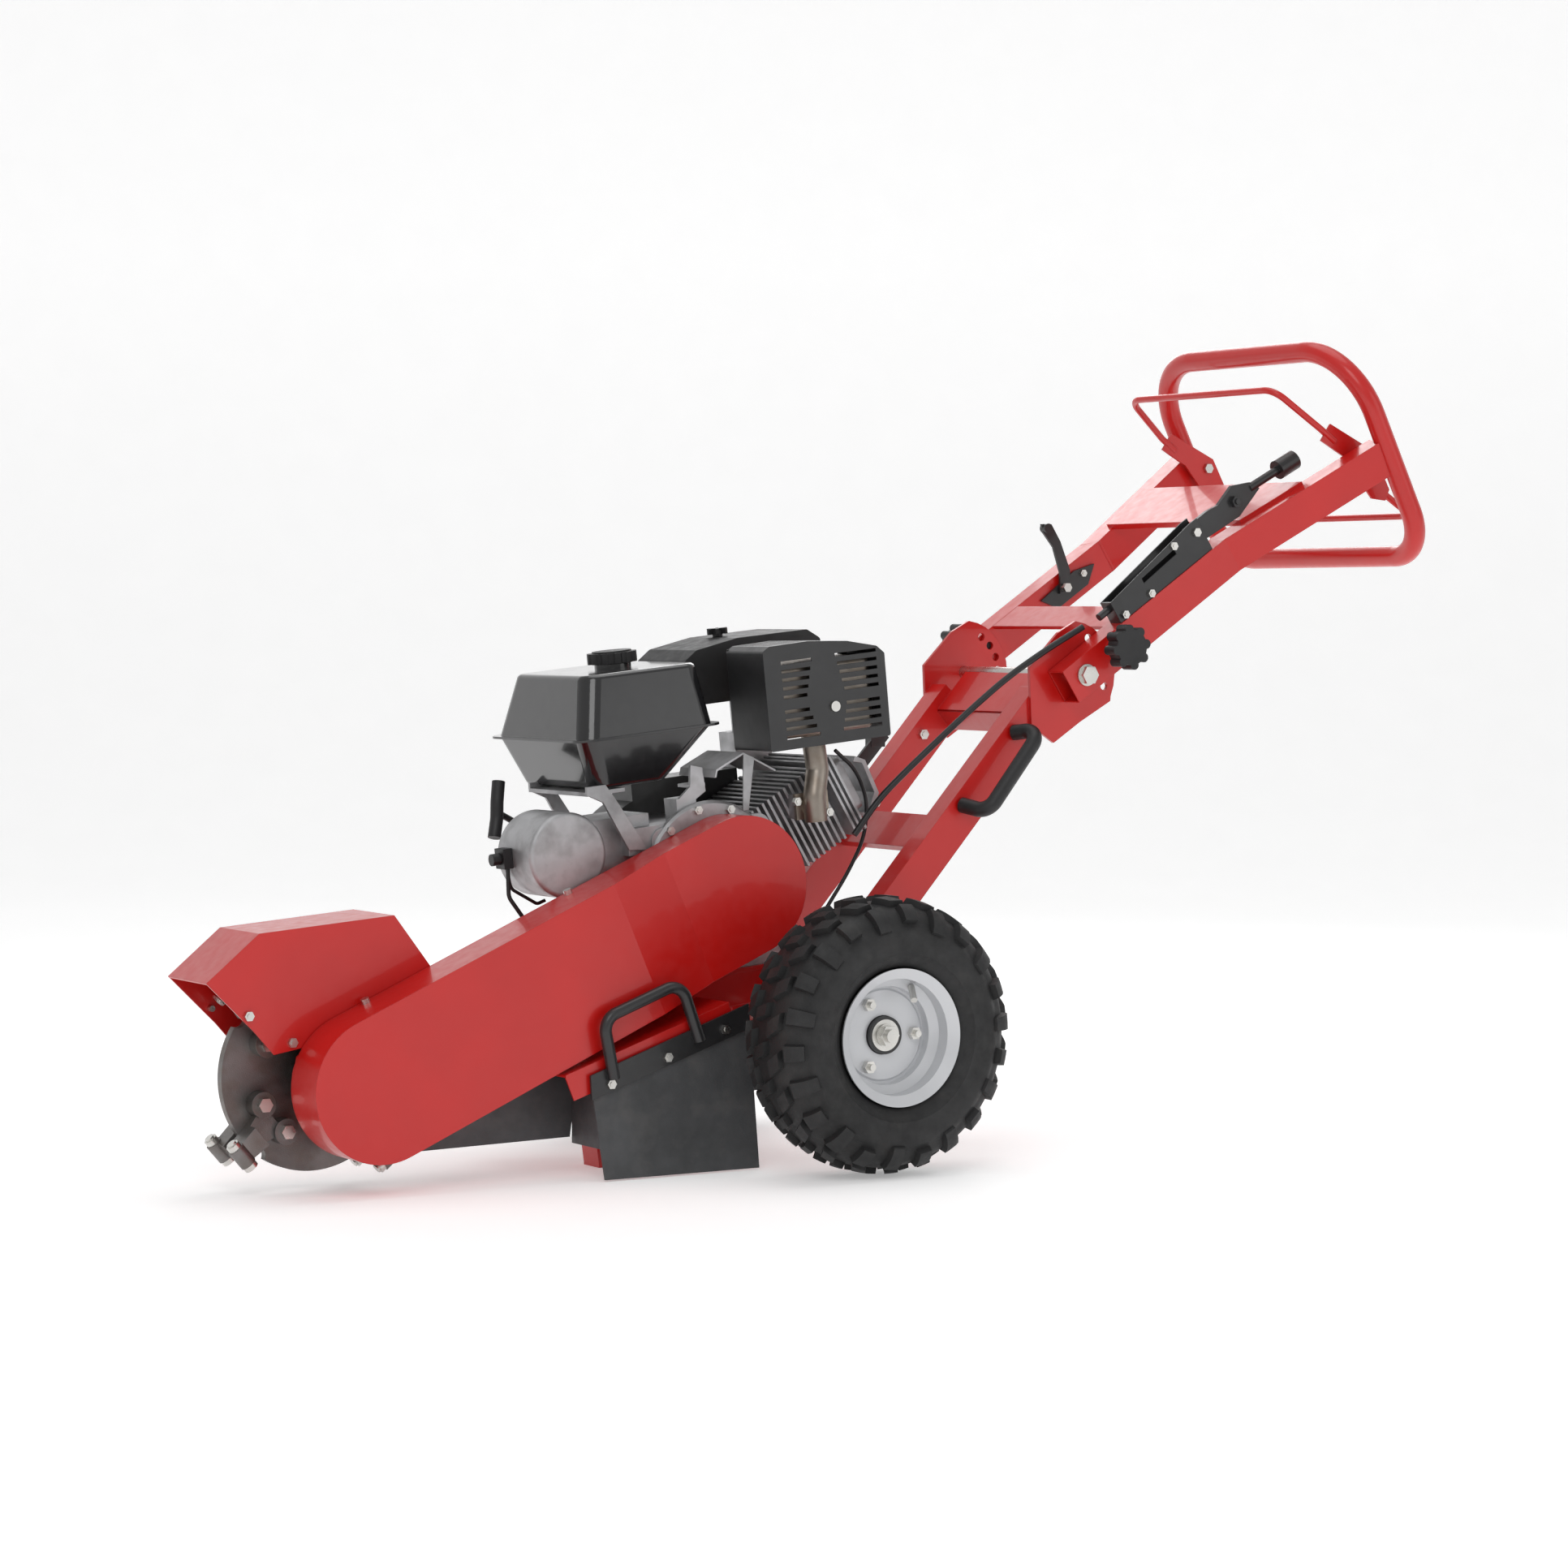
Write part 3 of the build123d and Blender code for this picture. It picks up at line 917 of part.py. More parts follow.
def build_upper_handle():
    """Upper handle: two tubes, cross plates, lock bosses and the ring handlebar."""
    full = ring_solid(RING_R)
    ring = full - ring_solid(RING_R - RING_WALL) - cyl_between(ring_point(0, -RING_DOWN - 30), ring_point(0, -RING_DOWN), 3)
    tray = prism([(935, 913), (1038, 970), (1069, 940), (1066, 937), (1037.5, 964.8), (937, 909)], -150, 150) - full
    ring = fuse(ring, tray.solids().sort_by(SortBy.VOLUME)[-1])
    inner = KINK[1] - TUBE_W / 2
    low = [along_tube(92, 0), along_tube(150, 0), along_tube(150, -6), along_tube(92, -6)]
    bar = prism(low, -inner - 1, inner + 1)
    plate = make_plate(((762, 180), (862, 212)), 5.0)
    bosses = []
    for s in (-1, 1):
        hx, hz = polar(PIVOT_X, PIVOT_Z, QUAD_HOLE_R, LOCK_ANGLE)
        y0, y1 = sorted((s * (KINK[1] + TUBE_W / 2 - 1), s * (KINK[1] + TUBE_W / 2 + BOSS_H)))
        bosses.append(cyl_y(hx, hz, 13, y0, y1))
    shape = fuse(up_tube(-1) - full, up_tube(1) - full, bar, plate, *bosses)
    hx, hz = polar(PIVOT_X, PIVOT_Z, QUAD_HOLE_R, LOCK_ANGLE)
    shape = shape - cyl_y(PIVOT_X, PIVOT_Z, PIVOT_R + BEARING_CLEAR, -400, 400)
    shape = shape - cyl_y(hx, hz, LOCK_PIN_R + 0.4, -400, 400)
    shape = shape.solids().sort_by(SortBy.VOLUME)[-1]
    add("upper_handle_frame", shape)
    ring = ring - fuse(*[solid_tube(s) for s in (-1, 1)])
    add("ring_handlebar", ring.solids().sort_by(SortBy.VOLUME)[-1])


def solid_tube(side):
    """Space of the splayed half of one upper tube, without its bore."""
    knee = (KINK[0], side * KINK[1], KINK[2])
    return beam(knee, (TUBE_END[0], side * TUBE_END[1], TUBE_END[2]), TUBE_W, TUBE_H)


def make_plate(stations, thick):
    """Flat plate lying on the two upper tubes between two X stations."""
    slope = (TUBE_END[2] - KINK[2]) / (TUBE_END[0] - KINK[0])
    lift = TUBE_H / 2 / math.cos(math.atan(slope)) + 0.5
    (xa, ya), (xb, yb) = stations
    za = KINK[2] + (xa - KINK[0]) * slope + lift
    zb = KINK[2] + (xb - KINK[0]) * slope + lift
    pts = [(xa, -ya, za), (xb, -yb, zb), (xb, yb, zb), (xa, ya, za)]
    face = make_face(Polyline(*pts, close=True))
    normal = Vector(-slope, 0, 1).normalized()
    return extrude(face, amount=thick, dir=tuple(normal)).fuse(extrude(face, amount=thick, dir=tuple(normal * -1)))


def build_knobs():
    """Two star knobs with their lock pins."""
    hx, hz = polar(PIVOT_X, PIVOT_Z, QUAD_HOLE_R, LOCK_ANGLE)
    inner = QUAD_IN + QUAD_T + GAP
    out = KINK[1] + TUBE_W / 2 + BOSS_H + GAP
    pin = cyl_y(hx, hz, LOCK_PIN_R, -out - 4, -inner)
    body = cyl_y(hx, hz, 28, -out - 26, -out)
    lobes = []
    for k in range(8):
        lx, lz = polar(hx, hz, 28, 45 * k + 10)
        lobes.append(cyl_y(lx, lz, 7.5, -out - 26, -out))
    knob = fuse(body, *lobes)
    for k in range(8):
        lx, lz = polar(hx, hz, 38, 45 * k + 32.5)
        knob = knob - cyl_y(lx, lz, 8.5, -out - 30, -out + 1)
    knob = fuse(knob, pin)
    add("lock_knob_left", knob)
    add("lock_knob_right", mirror_y(knob))


def build_bail():
    """Operator-presence bail: two rockers, the upper rod and the lower rod."""
    y = ROCKER_Y
    px, pz = BAIL_PIVOT
    plate_pts = [(916, 1133), (897, 1106), (946, 1080), (1002, 1015), (1030, 1012), (1038, 1030), (1004, 1092)]
    parts = []
    for s in (-1, 1):
        a, b = sorted((s * (y - ROCKER_T / 2), s * (y + ROCKER_T / 2)))
        parts.append(prism(plate_pts, a, b) - cyl_y(px, pz, 5 + BEARING_CLEAR, a - 1, b + 1))
    upper = rod([(925, -y, 1105), (898, -y, 1124), (817, -192, 1186), (817, 192, 1186), (898, y, 1124), (925, y, 1105)],
                BAIL_R, [20, 30, 30, 20])
    low = rod([(1024, -y + 7.4, 1030), (1092, -y + 7.4, 988), (1092, y - 7.4, 988), (1024, y - 7.4, 1030)],
              BAIL_R, [24, 24])
    add("presence_bail", fuse(*parts, upper, low))
    for s in (-1, 1):
        pin = fuse(cyl_y(px, pz, 5, *sorted((s * (y - 8), s * (y + 13)))),
                   hex_y(px, pz, 15, *sorted((s * (y - 8), s * (y - 3)))))
        ear = tube_y(px, pz, 13, 5, *sorted((s * (y + ROCKER_T / 2 + GAP), s * (y + 26))))
        ear = ear - NODES["upper_handle_frame"] - NODES["ring_handlebar"]
        ear = ear.solids().sort_by(Axis.Y)[0 if s > 0 else -1]
        FASTENERS["handle"].append(fuse(pin - NODES["upper_handle_frame"], ear))


def build_brake():
    """Brake lever bracket on the left tube with its lever, grip and cable end."""
    y_out, y_in = -KINK[1] - 18.0, -KINK[1] + 10.0
    mid = (y_out + y_in) / 2
    at = along_tube
    outline = [at(101, 0), at(101, 38), at(300, 58), at(314, 58), at(314, 0)]
    outer = prism(outline, y_out, y_out + 2.5)
    slot = prism([at(172, 28), at(172, 37), at(250, 41), at(250, 32)], y_out - 1, y_out + 4)
    inner = prism(outline, y_in - 2.5, y_in)
    floor = prism([at(101, 0), at(101, 2.5), at(314, 2.5), at(314, 0)], y_out, y_in)
    front = prism([at(101, 0), at(101, 38), at(104, 38), at(104, 0)], y_out, y_in)
    px, pz = at(300, 40)
    bracket = fuse(outer - slot, inner, floor, front) - cyl_y(px, pz, 4 + BEARING_CLEAR, y_out - 5, y_in + 5)
    bracket = (bracket - NODES["upper_handle_frame"]).solids().sort_by(SortBy.VOLUME)[-1]
    pin = fuse(cyl_y(px, pz, 4, y_out - 3, y_in + 3), hex_y(px, pz, 13, y_out - 6, y_out - GAP),
               hex_y(px, pz, 13, y_in + GAP, y_in + 6))
    FASTENERS["handle"].append(pin)
    for s, n in ((114, 8), (174, 8), (251, 46)):
        bx, bz = at(s, n)
        FASTENERS["handle"].append(bolt_y(bx, bz, 12, y_out, -1, 5))
    plate = prism([at(288, 30), at(290, 52), at(344, 52), at(368, 48), at(408, 59), at(440, 45), at(452, 26), at(394, 10),
                   at(322, 16)], mid - 4, mid + 4) - cyl_y(px, pz, 4 + BEARING_CLEAR, -400, 0)
    sx, sz = at(398, 35)
    c0, c1 = at(436, 36), at(534, 26)
    arm = cyl_between((c0[0], mid, c0[1]), (c1[0], mid, c1[1]), 7)
    g0, g1 = at(500, 29.5), at(538, 25.6)
    grip = cyl_between((g0[0], mid, g0[1]), (g1[0], mid, g1[1]), 16)
    nut = fuse(hex_y(sx, sz, 17, mid - 12, mid - 4), cyl_y(sx, sz, 5, mid - 15, mid - 4))
    add("brake_lever", fuse(plate, arm, nut, grip))
    e0, e1 = at(100.7, 26), at(78, 26)
    fitting = cyl_between((e0[0], mid, e0[1]), (e1[0], mid, e1[1]), 6)
    inner = KINK[1] - TUBE_W / 2
    base = prism([(606, 850), (640, 838), (700, 878), (712, 912), (672, 900)], inner - 5, inner)
    base = base - cyl_y(*THROTTLE_PIVOT, 5 + BEARING_CLEAR, inner - 30, inner + 1)
    add("lever_brackets", bracket, fitting, base)


THROTTLE_PIVOT = (646.0, 872.0)


def build_throttle():
    """Throttle lever on the inside of the right tube."""
    inner = KINK[1] - TUBE_W / 2
    px, pz = THROTTLE_PIVOT
    pin = fuse(cyl_y(px, pz, 5, inner - 22, inner - 0.2), hex_y(px, pz, 14, inner - 24, inner - 17.3))
    FASTENERS["handle"].append(pin)
    FASTENERS["handle"].append(bolt_y(688, 896, 11, inner - 5, -1, 5))
    lever = prism([(640, 862), (656, 866), (660, 900), (640, 948), (622, 976), (602, 976), (606, 962), (626, 938),
                   (640, 896)], inner - 10, inner - 5.3)
    lever = lever - cyl_y(px, pz, 5 + BEARING_CLEAR, inner - 30, inner + 1)
    tip = cyl_between((612, inner - 16, 969), (612, inner - 2, 969), 8)
    add("throttle_lever", fuse(lever, tip))


def cable(name, points, radius):
    """Round cable along straight runs joined by the widest arcs that fit; prints its radii."""
    vecs = [Vector(*p) for p in points]
    runs = [(vecs[i + 1] - vecs[i]).length for i in range(len(vecs) - 1)]
    radii = []
    for i in range(1, len(vecs) - 1):
        turn = math.radians((vecs[i] - vecs[i - 1]).get_angle(vecs[i + 1] - vecs[i]))
        radii.append(0.45 * min(runs[i - 1], runs[i]) / math.tan(turn / 2))
    path = FilletPolyline(*points, radius=radii)
    solid = sweep(Plane(origin=path @ 0, z_dir=path % 0) * Circle(radius), path=path)
    print(name, "radii", [round(r, 1) for r in radii], "length", round(path.length, 1), "volume",
          round(solid.volume), "section x length", round(math.pi * radius ** 2 * path.length))
    return solid


def build_cables():
    """Brake cable down to the engine, and the thin clutch cable that loops behind the cylinder head."""
    brake = [(458, -176, 808.5), (400, -164, 775), (336.7, -145.5, 730.9), (282.7, -131.5, 684.9),
             (228.7, -119.5, 636.9), (178.7, -107.5, 590.9), (130.7, -97.5, 544.9), (90.7, -91.5, 490.9)]
    clutch = [(72, -66, 620), (116, -58, 588), (140, -52, 540), (138, -46, 484), (112, -40, 430), (78, -34, 378),
              (40, -30, 322)]
    add("brake_cable", cable("brake_cable", brake, BRAKE_CABLE_R))
    add("clutch_cable", cable("clutch_cable", clutch, CLUTCH_CABLE_R))


def build_fasteners():
    """The collected bolts, nuts and washers of each body."""
    add("chassis_fasteners", *FASTENERS["chassis"], *FASTENERS["engine"])
    add("handle_fasteners", *FASTENERS["handle"])


def export_all():
    """Shift every node to the row frame and write the files."""
    lows, highs = [], []
    for shape in NODES.values():
        bb = shape.bounding_box()
        lows.append((bb.min.X, bb.min.Y, bb.min.Z))
        highs.append((bb.max.X, bb.max.Y, bb.max.Z))
    lo = [min(v[i] for v in lows) for i in range(3)]
    hi = [max(v[i] for v in highs) for i in range(3)]
    shift = Location((-(lo[0] + hi[0]) / 2, -(lo[1] + hi[1]) / 2, -lo[2]))
    print("size", [round(hi[i] - lo[i], 1) for i in range(3)], "shift", shift.position)
    os.makedirs("parts", exist_ok=True)
    for name, shape in NODES.items():
        export_step(shift * shape, f"parts/{name}.step")
    return shift


build_wheels()
build_axle()
build_main_frame()
build_flaps()
build_hood()
build_cover()
build_cutter()
build_drive()
build_crankcase()
build_fan_side()
build_head()
build_exhaust()
build_tank()
build_air_cleaner()
build_switch()
build_low_frame()
build_upper_handle()
build_knobs()
build_bail()
build_brake()
build_throttle()
build_cables()
build_fasteners()
SHIFT = export_all()
print(len(NODES), "nodes")
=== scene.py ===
import json
import math

import bmesh
import bpy
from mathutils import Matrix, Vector


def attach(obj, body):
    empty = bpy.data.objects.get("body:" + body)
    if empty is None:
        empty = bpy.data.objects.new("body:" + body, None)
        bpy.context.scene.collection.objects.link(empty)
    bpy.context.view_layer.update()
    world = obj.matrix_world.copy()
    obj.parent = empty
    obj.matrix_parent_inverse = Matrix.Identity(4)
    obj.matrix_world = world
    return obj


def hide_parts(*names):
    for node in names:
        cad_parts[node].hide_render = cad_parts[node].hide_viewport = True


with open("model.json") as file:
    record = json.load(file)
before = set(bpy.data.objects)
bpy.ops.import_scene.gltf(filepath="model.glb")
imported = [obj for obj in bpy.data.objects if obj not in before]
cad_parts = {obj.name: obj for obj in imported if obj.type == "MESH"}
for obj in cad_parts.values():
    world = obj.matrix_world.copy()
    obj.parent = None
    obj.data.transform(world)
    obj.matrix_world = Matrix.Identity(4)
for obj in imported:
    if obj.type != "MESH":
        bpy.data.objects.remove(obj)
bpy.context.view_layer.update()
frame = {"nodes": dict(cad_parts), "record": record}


SLOT_OF = {s["node"]: s["material_slot"] for s in frame["record"]["subparts"]}
SHIFT_X = -0.06425          # modelling frame to row frame
TYRE_R = 0.2087
WHEEL_MID = 0.300           # centre plane to the middle of a tyre
SECTION_R = 0.1475          # radius of the tyre section's centre round the axle
SECTION_A = 0.0585          # half height of the tyre section
SECTION_B = 0.0795          # half width of the tyre section
SECTION_N = 2.5             # how square the tyre section is, 2 being an ellipse
LUG_COUNT = 22
LUG_HEIGHT = 0.0095
LUG_ROOT = -0.012           # how far a tread block reaches into the carcass
CAMERA_AT = (-3.2223, -5.3335, 0.8288)
CAMERA_AIM = (0.51906, 0.85371, -0.04188)
CAMERA_LENS = 93.17
FLOOR_TURN = -31.3          # degrees, so that the raised back faces the camera
PAPER_GLOW = 0.3
WORLD_STRENGTH = 0.5
LIGHTS = (                  # name, place, size, power
    ("key_light", (-2.6, -3.4, 3.6), 2.6, 42.0),
    ("fill_light", (2.6, -4.2, 1.8), 3.0, 16.0),
    ("top_light", (0.3, 0.2, 4.2), 3.4, 38.0),
    ("rim_light", (2.2, 2.6, 2.6), 2.0, 24.0),
)


# ------------------------------------------------------------------ materials
def node(tree, kind, **values):
    """New shader node with its plain inputs and properties set."""
    made = tree.nodes.new(kind)
    for key, value in values.items():
        if key in made.inputs:
            made.inputs[key].default_value = value
        else:
            setattr(made, key, value)
    return made


def noise(tree, scale, detail=4.0, stretch=None):
    """Noise over the object's own coordinates, in metres."""
    coord = node(tree, "ShaderNodeTexCoord")
    source = coord.outputs["Object"]
    if stretch:
        mapping = node(tree, "ShaderNodeMapping")
        mapping.inputs["Scale"].default_value = stretch
        tree.links.new(source, mapping.inputs["Vector"])
        source = mapping.outputs["Vector"]
    tex = node(tree, "ShaderNodeTexNoise", Scale=scale, Detail=detail)
    tree.links.new(source, tex.inputs["Vector"])
    return tex.outputs["Fac"]


def ramp(tree, source, low, high, c0, c1):
    """Colour ramp between two stops."""
    made = node(tree, "ShaderNodeValToRGB")
    made.color_ramp.elements[0].position = low
    made.color_ramp.elements[1].position = high
    made.color_ramp.elements[0].color = (*c0, 1) if len(c0) == 3 else c0
    made.color_ramp.elements[1].color = (*c1, 1) if len(c1) == 3 else c1
    tree.links.new(source, made.inputs["Fac"])
    return made.outputs["Color"]


def span(tree, source, low, high):
    """Spread a 0..1 value over low..high."""
    made = node(tree, "ShaderNodeMapRange")
    made.inputs["From Min"].default_value = 0.3
    made.inputs["From Max"].default_value = 0.7
    made.inputs["To Min"].default_value = low
    made.inputs["To Max"].default_value = high
    tree.links.new(source, made.inputs["Value"])
    return made.outputs["Result"]


def finish_of(name, color, rough, metal=0.0, coat=0.0, vary=0.15, grain=(900.0, 0.05, 0.0002), blotch=9.0,
              edge=0.0, stretch=None, dust=None):
    """Principled material with blotches in colour and roughness, fine grain bump and soft edges."""
    made = bpy.data.materials.new(name)
    made.use_nodes = True
    tree = made.node_tree
    tree.nodes.clear()
    out = node(tree, "ShaderNodeOutputMaterial")
    shader = node(tree, "ShaderNodeBsdfPrincipled")
    shader.inputs["Metallic"].default_value = metal
    shader.inputs["Coat Weight"].default_value = coat
    shader.inputs["Coat Roughness"].default_value = 0.06
    broad = noise(tree, blotch, 5.0)
    dark = tuple(c * (1 - vary) for c in color)
    light = tuple(min(1.0, c * (1 + vary)) for c in color)
    tint = ramp(tree, broad, 0.3, 0.7, dark, light)
    if dust:
        mix = node(tree, "ShaderNodeMix", data_type="RGBA")
        grime = span(tree, noise(tree, 28.0, 8.0), -0.25, dust[1])
        tree.links.new(grime, mix.inputs["Factor"])
        tree.links.new(tint, mix.inputs["A"])
        mix.inputs["B"].default_value = (*dust[0], 1)
        tint = mix.outputs["Result"]
    tree.links.new(tint, shader.inputs["Base Color"])
    fine = noise(tree, grain[0], 3.0, stretch)
    tree.links.new(span(tree, noise(tree, 60.0, 6.0), rough * 0.85, rough * 1.2), shader.inputs["Roughness"])
    bump = node(tree, "ShaderNodeBump")
    bump.inputs["Strength"].default_value = grain[1]
    bump.inputs["Distance"].default_value = grain[2]
    tree.links.new(fine, bump.inputs["Height"])
    if edge > 0:
        round_off = node(tree, "ShaderNodeBevel", samples=4)
        round_off.inputs["Radius"].default_value = edge
        tree.links.new(round_off.outputs["Normal"], bump.inputs["Normal"])
    tree.links.new(bump.outputs["Normal"], shader.inputs["Normal"])
    tree.links.new(shader.outputs["BSDF"], out.inputs["Surface"])
    return made


RED = (0.56, 0.007, 0.005)
MATERIALS = {
    "red_paint": finish_of("red paint", RED, 0.34, coat=0.35, vary=0.05, grain=(420.0, 0.10, 0.0004), edge=0.0016),
    "black_paint": finish_of("black paint", (0.018, 0.018, 0.019), 0.36, coat=0.2, vary=0.2,
                             grain=(700.0, 0.2, 0.0004), edge=0.0012),
    "rim_paint": finish_of("rim paint", (0.64, 0.65, 0.67), 0.34, metal=0.2, coat=0.3, vary=0.02,
                           grain=(300.0, 0.04, 0.0001), blotch=3.0, edge=0.001),
    "cast_aluminium": finish_of("cast aluminium", (0.46, 0.46, 0.47), 0.46, metal=0.85, vary=0.22,
                                grain=(1300.0, 0.5, 0.0006), edge=0.0012, dust=((0.10, 0.095, 0.09), 0.35)),
    "steel": finish_of("zinc steel", (0.66, 0.65, 0.62), 0.28, metal=1.0, vary=0.12, grain=(1500.0, 0.15, 0.0002)),
    "dark_steel": finish_of("worked steel", (0.20, 0.19, 0.185), 0.42, metal=0.9, vary=0.35,
                            grain=(600.0, 0.5, 0.0006), edge=0.001, dust=((0.13, 0.085, 0.055), 0.4)),
    "tyre_rubber": finish_of("tyre rubber", (0.013, 0.013, 0.0135), 0.62, vary=0.35, grain=(800.0, 0.5, 0.0005),
                             dust=((0.06, 0.055, 0.05), 0.18)),
    "rubber_sheet": finish_of("rubber sheet", (0.058, 0.060, 0.063), 0.6, vary=0.3, grain=(500.0, 0.4, 0.0005),
                              dust=((0.11, 0.105, 0.10), 0.3)),
    "black_plastic": finish_of("black plastic", (0.014, 0.014, 0.015), 0.45, vary=0.25, grain=(1100.0, 0.5, 0.0004),
                               edge=0.0012),
    "cable_sheath": finish_of("cable sheath", (0.011, 0.011, 0.012), 0.38, vary=0.2, grain=(900.0, 0.2, 0.0002)),
    "tank_paint": finish_of("tank paint", (0.008, 0.008, 0.009), 0.16, coat=0.7, vary=0.2,
                            grain=(380.0, 0.06, 0.0003), edge=0.001),
}
PIPE = finish_of("heated steel", (0.34, 0.30, 0.26), 0.4, metal=1.0, vary=0.3, grain=(900.0, 0.3, 0.0003),
                 dust=((0.16, 0.10, 0.06), 0.35))
OWN = {"muffler": PIPE}


def paint_nodes():
    """Give every CAD node its finish."""
    for name, slot in SLOT_OF.items():
        mesh = frame["nodes"][name].data
        mesh.materials.clear()
        mesh.materials.append(OWN.get(name, MATERIALS[slot]))


# ------------------------------------------------------------------ geometry helpers
def new_object(name, bm, material, smooth=40.0):
    """Object from a bmesh, with shading smooth up to an angle."""
    bmesh.ops.recalc_face_normals(bm, faces=bm.faces)
    mesh = bpy.data.meshes.new(name)
    bm.to_mesh(mesh)
    bm.free()
    mesh.materials.append(material)
    mesh.polygons.foreach_set("use_smooth", [True] * len(mesh.polygons))
    mesh.set_sharp_from_angle(angle=math.radians(smooth))
    made = bpy.data.objects.new(name, mesh)
    bpy.context.collection.objects.link(made)
    return made


def tyre_point(t, phi, lift, side):
    """Point on the tyre's outside: t round the section from the crown, phi round the wheel."""
    power = 2 / SECTION_N

    def flat(angle):
        s, c = math.sin(angle), math.cos(angle)
        return (SECTION_A * math.copysign(abs(c) ** power, c), SECTION_B * math.copysign(abs(s) ** power, s))

    (r0, y0), (r1, y1), (r2, y2) = flat(t), flat(t - 0.01), flat(t + 0.01)
    nr, ny = y2 - y1, -(r2 - r1)
    length = math.hypot(nr, ny) or 1.0
    r = SECTION_R + r0 + lift * nr / length
    y = y0 + lift * ny / length
    return Vector((SHIFT_X + r * math.cos(phi), side * WHEEL_MID + y, TYRE_R + r * math.sin(phi)))


def add_lug(bm, side, t0, t1, phi0, phi1, skew, height, taper=0.10):
    """One tread block standing on the carcass."""
    rows, cols = 4, 3
    grid = {}
    for level, inset in ((0, 0.0), (1, taper)):
        lift = LUG_ROOT if level == 0 else height - LUG_HEIGHT
        for i in range(rows + 1):
            for j in range(cols + 1):
                u, v = i / rows, j / cols
                uu = inset + (1 - 2 * inset) * u
                vv = inset + (1 - 2 * inset) * v
                t = t0 + (t1 - t0) * uu
                phi = phi0 + (phi1 - phi0) * vv + skew * (uu - 0.5)
                grid[level, i, j] = bm.verts.new(tyre_point(t, phi, lift, side))
    for i in range(rows):
        for j in range(cols):
            bm.faces.new([grid[1, i, j], grid[1, i + 1, j], grid[1, i + 1, j + 1], grid[1, i, j + 1]])
    for i in range(rows):
        bm.faces.new([grid[0, i, 0], grid[0, i + 1, 0], grid[1, i + 1, 0], grid[1, i, 0]])
        bm.faces.new([grid[0, i + 1, cols], grid[0, i, cols], grid[1, i, cols], grid[1, i + 1, cols]])
    for j in range(cols):
        bm.faces.new([grid[0, 0, j + 1], grid[0, 0, j], grid[1, 0, j], grid[1, 0, j + 1]])
        bm.faces.new([grid[0, rows, j], grid[0, rows, j + 1], grid[1, rows, j + 1], grid[1, rows, j]])


def build_tyre(side, label):
    """Pneumatic tyre: carcass with sidewall rings, staggered centre blocks and long shoulder lugs."""
    bm = bmesh.new()
    around, section = 180, 64
    t_end = math.radians(152)
    rings = []
    for i in range(around):
        phi = 2 * math.pi * i / around
        ring = []
        for k in range(section + 1):
            t = -t_end + 2 * t_end * k / section
            lift = -LUG_HEIGHT
            deg = abs(math.degrees(t))
            if 74 < deg:
                lift = -0.003 - 0.0065 * max(0.0, (84 - deg) / 10)
            if 108 < deg < 112:
                lift += 0.0018
            if 132 < deg < 138:
                lift += 0.0022
            ring.append(bm.verts.new(tyre_point(t, phi, lift, side)))
        inner = [(0.052, 0.0905), (0.040, 0.0905), (0.036, 0.118), (0.066, 0.150), (0.0, 0.188), (-0.066, 0.150),
                 (-0.036, 0.118), (-0.040, 0.0905), (-0.052, 0.0905)]
        for y, r in inner:
            x, z = SHIFT_X + r * math.cos(phi), TYRE_R + r * math.sin(phi)
            ring.append(bm.verts.new((x, side * WHEEL_MID + y, z)))
        rings.append(ring)
    count = len(rings[0])
    for i in range(around):
        a, b = rings[i], rings[(i + 1) % around]
        for k in range(count):
            m = (k + 1) % count
            bm.faces.new([a[k], a[m], b[m], b[k]])
    pitch = 2 * math.pi / LUG_COUNT
    rad = math.radians
    for i in range(LUG_COUNT):
        base = i * pitch
        for s in (-1, 1):
            shift = base + (0.5 * pitch if s > 0 else 0.0)
            long = i % 2 == 0
            outer = s * rad(86 if long else 72)
            add_lug(bm, side, s * rad(34), outer, shift, shift + 0.52 * pitch, 0.0, LUG_HEIGHT)
            add_lug(bm, side, s * rad(9), s * rad(30), shift + 0.30 * pitch, shift + 0.80 * pitch,
                    0.30 * pitch * s, LUG_HEIGHT)
        add_lug(bm, side, rad(-7), rad(7), base + 0.05 * pitch, base + 0.42 * pitch, 0.2 * pitch, LUG_HEIGHT)
    made = new_object(f"tread_tyre_{label}", bm, MATERIALS["tyre_rubber"], 35.0)
    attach(made, f"wheel_{label}")
    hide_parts(f"tyre_{label}")


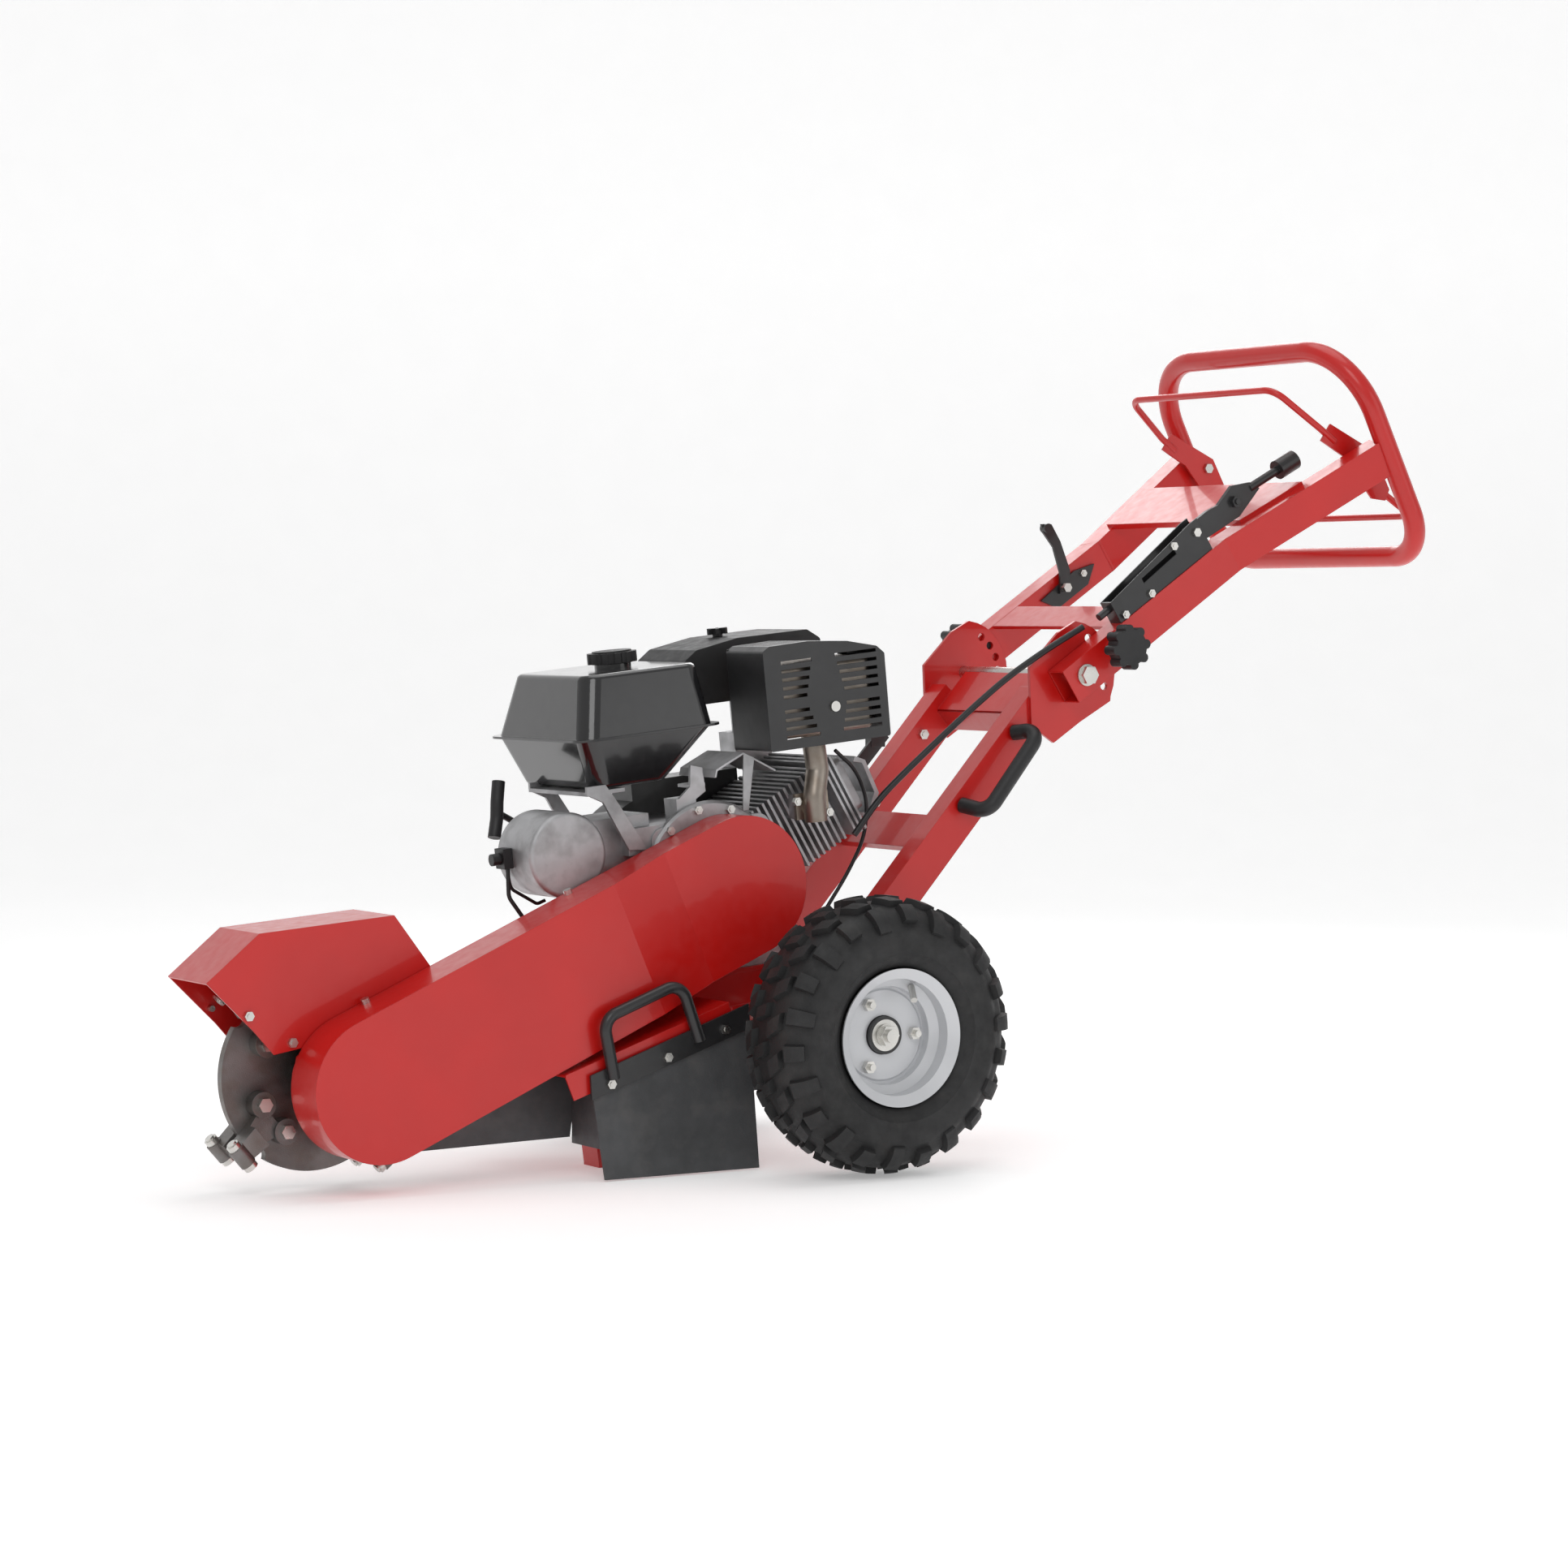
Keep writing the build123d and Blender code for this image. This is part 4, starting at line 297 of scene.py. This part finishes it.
# ------------------------------------------------------------------ stage
def build_stage():
    """Pale floor, soft lights and the camera."""
    bm = bmesh.new()
    half, back, height, bend = 9.0, 5.0, 7.0, 2.0
    profile = [(-half, 0.0), (back, 0.0)]
    for k in range(1, 13):
        a = math.pi / 2 * k / 12
        profile.append((back + bend * math.sin(a), bend - bend * math.cos(a)))
    profile.append((back + bend, height))
    rows = []
    for y, z in profile:
        rows.append([bm.verts.new((x, y, z)) for x in (-14.0, 14.0)])
    for a, b in zip(rows, rows[1:]):
        bm.faces.new([a[0], a[1], b[1], b[0]])
    paper = finish_of("studio paper", (0.93, 0.93, 0.93), 0.9, vary=0.01, grain=(300.0, 0.05, 0.0002))
    glow = next(n for n in paper.node_tree.nodes if n.type == "BSDF_PRINCIPLED")
    glow.inputs["Emission Color"].default_value = (1, 1, 1, 1)
    glow.inputs["Emission Strength"].default_value = PAPER_GLOW
    floor = new_object("studio_floor", bm, paper, 60.0)
    floor.rotation_euler = (0, 0, math.radians(FLOOR_TURN))
    world = bpy.data.worlds.new("studio")
    world.use_nodes = True
    world.node_tree.nodes["Background"].inputs["Color"].default_value = (1, 1, 1, 1)
    world.node_tree.nodes["Background"].inputs["Strength"].default_value = WORLD_STRENGTH
    bpy.context.scene.world = world
    for name, place, size, power in LIGHTS:
        lamp = bpy.data.lights.new(name, "AREA")
        lamp.shape = "DISK"
        lamp.size = size
        lamp.energy = power
        made = bpy.data.objects.new(name, lamp)
        made.location = place
        made.rotation_euler = (Vector((0, 0, 0.45)) - Vector(place)).to_track_quat("-Z", "Y").to_euler()
        bpy.context.collection.objects.link(made)
    lens = bpy.data.cameras.new("camera")
    lens.sensor_width = 36.0
    lens.lens = CAMERA_LENS
    lens.clip_end = 60.0
    camera = bpy.data.objects.new("camera", lens)
    camera.location = (CAMERA_AT[0] + SHIFT_X, CAMERA_AT[1], CAMERA_AT[2])
    camera.rotation_euler = Vector(CAMERA_AIM).to_track_quat("-Z", "Y").to_euler()
    bpy.context.collection.objects.link(camera)
    bpy.context.scene.camera = camera
    bpy.context.scene.view_settings.view_transform = "Standard"


paint_nodes()
build_tyre(-1, "left")
build_tyre(1, "right")
build_stage()
